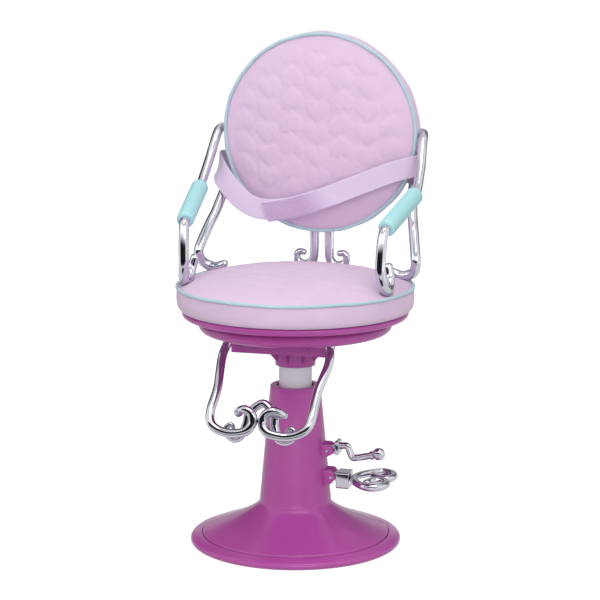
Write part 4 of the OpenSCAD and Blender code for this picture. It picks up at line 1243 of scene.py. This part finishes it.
@dataclass
class Levers:
    """Height lever with its ball, and the pump pedal with its heart of bent tube."""

    lever: Point = (28.2, 0.0, 78.0)
    rod: Line = (
        (7, 0, 2.9), (11.8, 0, 3.5), (14.6, 0, 3.4), (16.1, 0, 1.8), (18.1, 0, -3.6), (19.6, 0, -5.6),
        (22.4, 0, -5.9), (36.2, 0, -2.8))
    rod_r: float = 2.8
    ball: Point = (69.2, 0.0, 76.5)
    ball_r: float = 5.1
    ball_end: float = 88.0
    ball_grid: tuple[int, int] = (39, 64)
    neck_gap: float = 0.6
    neck: tuple[Pair, ...] = ((-1.4, 2.7), (-1.1, 3.4), (-0.5, 3.6), (0.5, 3.6), (1.1, 3.4), (1.4, 2.7))
    collar: Point = (3.4, 11.8, 11.4)
    collar_middle: Point = (35.7, 0.0, 80.4)
    lug: Point = (3.2, 8.2, 6.0)
    lug_edge: float = 0.4
    block: Point = (10.8, 14.8, 13.6)
    block_middle: Point = (40.83, 0.0, 54.2)
    block_corner: float = 1.6
    block_edge: float = 0.7
    pedal: Point = (31.4, 0.0, 56.3)
    heart: Point = (49.4, 0.0, 55.3)
    heart_len: float = 29.0
    heart_half: float = 25.0
    heart_r: float = 3.1
    heart_gap: float = 3.4

    def heart_line(self) -> Array:
        """Middle line of the heart from tip to tip, round both lobes: a spline through its stations.

        Returns:
            The line's points, one row each.
        """
        u, v, gap = self.heart_len, self.heart_half, self.heart_gap
        half = np.array([
            (0.06 * u, 0.34 * v), (0.3 * u, 0.74 * v), (0.62 * u, v), (0.92 * u, 0.82 * v), (u, 0.46 * v),
            (0.9 * u, gap + 0.6), (0.7 * u, gap), (0.5 * u, 0.3 * v), (0.44 * u, 0.5 * v)])
        flat = np.vstack([half[::-1] * (1, -1), [(0, 0)], half])
        return spline(np.column_stack([flat, np.zeros(len(flat))]) + np.array(self.heart))

    def build(self) -> None:
        """Adds the lever, its ball, the pedal's block and its heart."""
        rod = spline(np.array(self.lever) + self.rod)
        lever = joined([sweep(rod, self.rod_r, (False, False)), self._block(self.collar, self.collar_middle),
                        self._lug(self.lever), self._neck(rod)])
        add_piece("lever_rod", lever, CHROME, Body.LEVER, "lever_arm")
        add_piece("lever_knob", self._ball(), CHROME, Body.LEVER, "lever_ball")
        block = joined([self._block(self.block, self.block_middle), self._lug(self.pedal)])
        add_piece("pedal_box", block, CHROME, Body.PEDAL, "pedal_block")
        heart = sweep(self.heart_line(), self.heart_r)
        add_piece("pedal_heart_tube", heart, CHROME, Body.PEDAL, "pedal_heart")

    def _block(self, size: Point, middle: Point) -> Skin:
        """Block with rounded corners and edges: a slab with its thickness along X.

        Args:
            size: Its length, width and height.
            middle: Its middle.

        Returns:
            The block's skin.
        """
        length, width, height = size
        section = oblong((-width / 2, -height / 2), (width / 2, height / 2), self.block_corner)
        grid = slab(section, length, self.block_edge)
        return grid_skin(np.array(middle) + np.roll(grid, 1, axis=-1))

    def _lug(self, pivot: Point) -> Skin:
        """Tongue that turns on a pin: a slab with a round end, from the pivot out to the block.

        Args:
            pivot: Where the pin is.

        Returns:
            The tongue's skin.
        """
        r, width, reach = self.lug
        grid = slab(np.array([*arc((0, 0), r, 90, 270, 16), [reach, -r], [reach, r]]), width, self.lug_edge)
        return grid_skin(np.array(pivot) + to_front(grid))

    def _neck(self, rod: Array) -> Skin:
        """Small ring on the rod just before the ball: circles of its radii along the rod's last stretch.

        Args:
            rod: The rod's middle line.

        Returns:
            The ring's skin.
        """
        along, radius = np.array(self.neck).T
        ball = np.array(self.ball)
        return spindle(ball, unit(ball - rod[-1]), along - self.ball_r - self.neck_gap, radius)

    def _ball(self) -> Skin:
        """Returns the lever's knob: half circles turned about its middle."""
        outline = arc((0, 0), self.ball_r, -self.ball_end, self.ball_end, self.ball_grid[0])
        return grid_skin(turned(np.array(outline), self.ball_grid[1]) + np.array(self.ball))


@dataclass
class Belt:
    """Two ends of a flat belt that meet behind the back and close in front, with a patch of hooks."""

    width: float = 17.0
    thickness: float = 1.0
    edge: float = 0.5
    middle: Point = (0.0, 91.2, 300.2)
    side_x: float = 85.7
    back_y: float = 70.0
    back_z: float = 324.2
    mid_y: float = 79.0
    slant: float = 4.0
    steps: int = 12
    patch_steps: int = 60
    patch_len: float = 60.0
    patch_in: float = 0.6
    patch_edge: float = 0.8
    patch_sink: float = 0.1
    patch_grid: tuple[int, int] = (150, 60)
    knob_h: float = 0.45
    knob_foot: float = 0.5
    knob_step: float = 1.3

    def long_end(self) -> tuple[Array, Array]:
        """Stations of the longer end, from behind the back round to its tip in front.

        Returns:
            Points of its middle line, and the way its width lies at each.
        """
        behind = np.array(self.middle) + [(0.3, 0, 0), (34, 0, 0), (66, 0, 5), (79, -2, 5.5)]
        x, y, z = self.side_x, self.back_y, self.back_z
        front = [(x, self.mid_y + 4.5, z - 19), (x, self.mid_y - 3, z - 20.5), (x - 1.4, y - 0.6, z - 23),
                 (x - 8, y - 6, z - 25), (0.72 * x, y - 9, z - 29.7), (0.36 * x, y - 11.6, z - 42.2),
                 (0, y - 15, z - 54.2), (-0.28 * x, y - 19.8, z - 60.8), (-0.47 * x, y - 22, z - 63.6)]
        wide = [(0, 0, 1)] * 7 + [(0.1, 0, 1), (0.2, 0.05, 1), (0.3, 0.1, 1), (0.25, 0.15, 1), (0.1, 0.2, 1),
                                  (0.08, 0.2, 1)]
        return np.vstack([behind, front]), np.array(wide, float)

    def short_end(self) -> tuple[Array, Array]:
        """Stations of the shorter end, from behind the back round to its tip in front.

        Returns:
            Points of its middle line, and the way its width lies at each.
        """
        behind = np.array(self.middle) + [(-0.3, 0, 0), (-34, 0, 0), (-66, 0, -1), (-80, -2, -3)]
        x, y, z = -self.side_x, self.back_y, self.back_z
        front = [(x - 2.2, self.mid_y + 4.5, z - 26.5), (x - 1.4, self.mid_y - 5, z - 28),
                 (x + 1.4, y - 5, z - 31), (0.93 * x, y - 11.4, z - 36.6), (0.83 * x, y - 14.8, z - 46),
                 (0.72 * x, y - 17.4, z - 54.3), (0.59 * x, y - 19.4, z - 60), (0.44 * x, y - 19.6, z - 61.8),
                 (0.28 * x, y - 18, z - 60.8)]
        wide = [(0, 0, 1)] * 5 + [(0.1, 0, 1), (0.45, 0.1, 1), (0.55, 0.2, 1), (0.5, 0.3, 1), (0.4, 0.3, 1),
                                  (0.15, 0.2, 1), (0.1, 0.2, 1), (0.1, 0.2, 1)]
        return np.vstack([behind, front]), np.array(wide, float)

    def build(self) -> None:
        """Adds both ends and the patch."""
        for node, stations in (("belt_long", self.long_end()), ("belt_short", self.short_end())):
            line, wide = (spline(points, self.steps) for points in stations)
            tape = add_piece(node + "_tape", self._tape(line, wide), TAPE, Body.SEAT, node, sharp=60.0)
        add_piece("belt_hook_patch", self._hooks(), HOOKS, Body.SEAT)

    def _frames(self, line: Array, wide: Array) -> tuple[Array, Array, Array]:
        """Frames along the tape: the way its width lies, made square to the line.

        Args:
            line: Points of the tape's middle.
            wide: The way the width lies at each.

        Returns:
            Unit vectors along the tape, across it and square to its face.
        """
        ahead = unit(np.gradient(line, axis=0))
        across = unit(wide - (wide * ahead).sum(axis=1, keepdims=True) * ahead)
        return ahead, across, np.cross(ahead, across)

    def _tape(self, line: Array, wide: Array) -> Skin:
        """Flat tape along a line: a thin rectangle with rounded corners carried along, sheared at its end.

        Args:
            line: Points of the tape's middle.
            wide: The way the width lies at each.

        Returns:
            The tape's skin, with flat places along and across it.
        """
        ahead, across, out = self._frames(line, wide)
        w, t = self.width / 2, self.thickness / 2
        side = np.linspace(-w + self.edge, w - self.edge, 12)
        edge = arc((w - self.edge, 0), t, -90, 90, 4)
        section = np.array([*([s, -t] for s in side[:-1]), *edge, *([s, t] for s in side[::-1][1:]),
                            *([-u, -v] for u, v in edge)])
        grid = line[:, None] + section[None, :, :1] * across[:, None] + section[None, :, 1:] * out[:, None]
        run = runs(line)
        shear = self.slant * ease((run - run[-1]) / self.width + 1)
        grid += (shear[:, None] * section[None, :, 0] / self.width)[..., None] * ahead[:, None]
        flat = np.stack(np.broadcast_arrays(run[:, None], section[None, :, 0]), axis=-1)
        return grid_skin(grid, flat=flat)

    def _hooks(self) -> Skin:
        """Patch of hooks on the longer end: a thin layer over the tape with small knobs, a product of sines.

        Returns:
            The patch's skin, with flat places along and across it.
        """
        rows, columns = self.patch_grid
        line, wide = (spline(points, self.patch_steps) for points in self.long_end())
        run = runs(line)
        at = np.linspace(run[-1] - self.patch_len, run[-1] - self.patch_in, rows)
        line, wide = (np.column_stack([np.interp(at, run, x) for x in points.T]) for points in (line, wide))
        ahead, across, out = self._frames(line, wide)
        w, t = self.width / 2 - self.patch_in, self.thickness / 2
        side = np.linspace(-w, w, columns)
        ends = np.minimum(ease((at - at[0]) / (HOOKS.fade / MM)), ease((at[-1] - at) / self.patch_edge))
        rim = ends[:, None] * ease((w - np.abs(side)) / self.patch_edge)
        knob = np.abs(np.sin(np.pi * at / self.knob_step)[:, None] * np.sin(np.pi * side / self.knob_step))
        height = t + rim * self.knob_h * (self.knob_foot + knob)
        across = (across + self.slant / self.width * ahead)[:, None]
        front = line[:, None] + side[:, None] * across - height[..., None] * out[:, None]
        rear = line[:, None] + side[::-1, None] * across - (t - self.patch_sink) * out[:, None]
        round_trip = np.concatenate([side, side[::-1]])
        flat = np.stack(np.broadcast_arrays((at - at[0])[:, None], round_trip), axis=-1)
        return grid_skin(np.concatenate([front, rear], axis=1), flat=flat)


@dataclass
class Studio:
    """White floor and surroundings, soft lamps, cards that only reflections show, and the photo's camera.

    Sizes are in metres. A lamp has its name, place, width and power. A card has its name, the angles of its
    sides from the way to the lens, the reach and height of its lower and its upper edge, and how bright its
    middle and its rim show. A level card has its name, half its width, its height and its brightness.
    """

    floor_half: float = 6.0
    floor_tone: float = 0.55
    floor_rough: float = 0.9
    floor_glow: float = 0.76
    camera_place: Point = (0.4750, -1.6431, 0.5168)
    camera_aim: Point = (-0.2710, 0.9450, -0.1832)
    lens: float = 131.06
    sensor: float = 36.0
    ambient: float = 0.46
    lamp_aim: Point = (0, 0, 0.2)
    lamps: tuple[tuple[str, Point, float, float], ...] = (
        ("key", (0.9, -1.5, 1.0), 1.3, 13.5), ("fill", (-1.1, -1.4, 1.0), 1.2, 6.5),
        ("top", (0.2, -0.4, 2.6), 1.8, 29.0), ("low", (0.5, -1.5, 0.4), 0.8, 2.4))
    cards: tuple[tuple[str, Pair, Pair, Pair, float, float], ...] = (
        ("front_card", (-84, 44), (0.62, 0.09), (0.62, 0.33), 0.01, 1.0),
        ("floor_card", (-60, 40), (0.34, 0.003), (0.66, 0.003), 0.02, 0.78),
        ("left_card", (-168, -108), (1.4, 0.0), (1.4, 2.0), 0.06, 0.7),
        ("right_card", (108, 168), (1.4, 0.0), (1.4, 2.0), 0.2, 0.8),
        ("back_card", (166, 194), (1.4, 0.0), (1.4, 2.0), 0.4, 0.4))
    level_cards: tuple[tuple[str, float, float, float], ...] = (
        ("ceiling_card", 2.4, 2.6, 0.74), ("ground_card", 1.1, 0.002, 0.78))
    card_steps: int = 24
    fade: float = 0.22

    def build(self) -> None:
        """Adds the floor, the cards, the world, the lamps and the camera."""
        floor = self._sheet("floor", self._square(self.floor_half, 0), 1)
        floor.data.materials.append(self._floor_look())
        for name, turn, near, far, tone, rim in self.cards:
            self._card(name, self._upright(turn, near, far), tone, rim)
        for name, half, height, tone in self.level_cards:
            self._card(name, self._square(half, height), tone, tone)
        self._world()
        for lamp in self.lamps:
            self._lamp(*lamp)
        self._camera()
        bpy.context.scene.view_settings.view_transform = "Standard"

    def _square(self, half: float, height: float) -> list[Point]:
        """Returns the corners of a level square about the chair's axis."""
        return [(x * half, y * half, height) for x, y in ((-1, -1), (1, -1), (1, 1), (-1, 1))]

    def _upright(self, turn: Pair, near: Pair, far: Pair) -> list[Point]:
        """Corners of a card that stands or lies round the chair.

        Args:
            turn: Angles of its sides in degrees, from the way to the lens towards the right.
            near: Distance from the chair's axis and height of its lower edge.
            far: The same of its upper edge.

        Returns:
            The four corners, one after another.
        """
        first = math.atan2(self.camera_place[1], self.camera_place[0])
        places = ((turn[0], near), (turn[1], near), (turn[1], far), (turn[0], far))
        angles = [first + math.radians(angle) for angle, _ in places]
        return [(reach * math.cos(a), reach * math.sin(a), z) for a, (_, (reach, z)) in zip(angles, places)]

    def _sheet(self, name: str, corners: list[Point], steps: int) -> bpy.types.Object:
        """Sheet between four corners: each side's points are mixed by the share of the way along.

        Args:
            name: The sheet's name.
            corners: Its corners, one after another.
            steps: Steps along each side.

        Returns:
            The new object.
        """
        a, b, c, d = np.asarray(corners, float)[:, None, None]
        t = np.linspace(0, 1, steps + 1)
        u, v = t[None, :, None], t[:, None, None]
        places = ((a * (1 - u) + b * u) * (1 - v) + (d * (1 - u) + c * u) * v).reshape(-1, 3)
        first = (np.arange(steps)[:, None] * (steps + 1) + np.arange(steps)).ravel()
        faces = np.column_stack([first, first + 1, first + steps + 2, first + steps + 1]).tolist()
        sheet = add_object(name, new_mesh(name, Skin(places / MM, faces)))
        return sheet

    def _floor_look(self) -> bpy.types.Material:
        """Builds a floor that glows to the lens and in reflections, so that only shadow darkens it.

        Returns:
            The floor's material.
        """
        material = bpy.data.materials.new("floor_look")
        nodes = Nodes(material)
        glow = nodes.math("MULTIPLY", nodes.seen(), self.floor_glow)
        nodes.put_on("Principled BSDF", {
            "Base Color": (*[self.floor_tone] * 3, 1), "Roughness": self.floor_rough,
            "Specular IOR Level": 0.0, "Emission Color": (1, 1, 1, 1), "Emission Strength": glow})
        return material

    def _card(self, name: str, corners: list[Point], tone: float, rim: float) -> None:
        """Adds a card that only reflections show: its brightness eases from the rim to the middle.

        Args:
            name: The card's name.
            corners: Its four corners.
            tone: How bright its middle shows.
            rim: How bright its rim shows.
        """
        card = self._sheet(name, corners, self.card_steps)
        card.visible_camera = card.visible_diffuse = card.visible_transmission = card.visible_shadow = False
        t = np.linspace(0, 1, self.card_steps + 1)
        inner = ease(np.minimum(t, 1 - t) / self.fade)
        shade = np.repeat(rim + (tone - rim) * np.outer(inner, inner).ravel(), 4)
        card.data.color_attributes.new("shade", "FLOAT_COLOR", "POINT").data.foreach_set("color", shade)
        material = bpy.data.materials.new(name + "_look")
        nodes = Nodes(material)
        nodes.put_on("Principled BSDF", {
            "Base Color": (0, 0, 0, 1), "Specular IOR Level": 0.0, "Emission Strength": 1.0,
            "Emission Color": nodes.add("VertexColor", {}, "Color", layer_name="shade")})
        card.data.materials.append(material)

    def _world(self) -> None:
        """Lights the scene evenly, and shows white to the lens and in reflections."""
        world = bpy.context.scene.world = bpy.data.worlds.new("studio")
        nodes = Nodes(world)
        even, white = (nodes.add("Background", {"Color": (1, 1, 1, 1), "Strength": strength}, "Background")
                       for strength in (self.ambient, 1.0))
        shown = nodes.add("MixShader", {"Fac": nodes.seen(), 1: even, 2: white}, "Shader")
        nodes.put_on("World Output", {"Surface": shown})

    def _lamp(self, name: str, place: Point, size: float, power: float) -> None:
        """Adds a square lamp that shines at the chair's middle.

        Args:
            name: Its name.
            place: Where it stands.
            size: Its width.
            power: Its power in watts.
        """
        lamp = bpy.data.lights.new(name, "AREA")
        lamp.size, lamp.energy = size, power
        self._aimed(name, lamp, place, Vector(self.lamp_aim) - Vector(place))

    def _camera(self) -> None:
        """Adds the camera of the photo."""
        lens = bpy.data.cameras.new("photo_camera")
        lens.sensor_width, lens.lens = self.sensor, self.lens
        camera = self._aimed("photo_camera", lens, self.camera_place, Vector(self.camera_aim))
        bpy.context.scene.camera = camera

    def _aimed(self, name: str, data: bpy.types.ID, place: Point, aim: Vector) -> bpy.types.Object:
        """Adds an object that looks along a direction.

        Args:
            name: Its name.
            data: Its lamp or camera.
            place: Where it stands.
            aim: The way it looks.

        Returns:
            The new object.
        """
        made = add_object(name, data)
        made.location = place
        made.rotation_euler = aim.to_track_quat("-Z", "Y").to_euler()
        return made


def dress_frame() -> None:
    """Gives every CAD node the finish of its slot."""
    looks = {finish.slot: finish for finish in FINISHES}
    for part in frame["record"]["subparts"]:
        node = frame["nodes"][part["node"]]
        node.data.materials.clear()
        node.data.materials.append(looks[part["material_slot"]].material())
    log.info("dressed %d CAD nodes", len(frame["nodes"]))


def main() -> None:
    """Dresses the frame, builds the pieces and sets up the studio."""
    logging.basicConfig(level=logging.INFO, format="%(name)s: %(message)s")
    dress_frame()
    Pedestal().build()
    SeatPan().build()
    tubes = ChromeFrame()
    seat = Cushion("seat_cushion", ("seat_cushion", "seat_piping"), Facing.UP, middle=(0, 0, 210.2),
                   seam_r=94.0, crown=12.5, rear_crown=0.0, swell=1.0, tuck=1.4, relief=0.35)
    seat.build(tubes.feet())
    back = Cushion("back_cushion", ("back_cushion", "back_piping"), Facing.FRONT, middle=(0, 70.0, 324.2),
                   seam_r=80.5, crown=8.0, rear_crown=2.5, swell=2.0, tuck=2.0, relief=0.65)
    back.build([])
    tubes.build()
    Footrest().build()
    Levers().build()
    Belt().build()
    Studio().build()


if __name__ == "__main__":
    main()
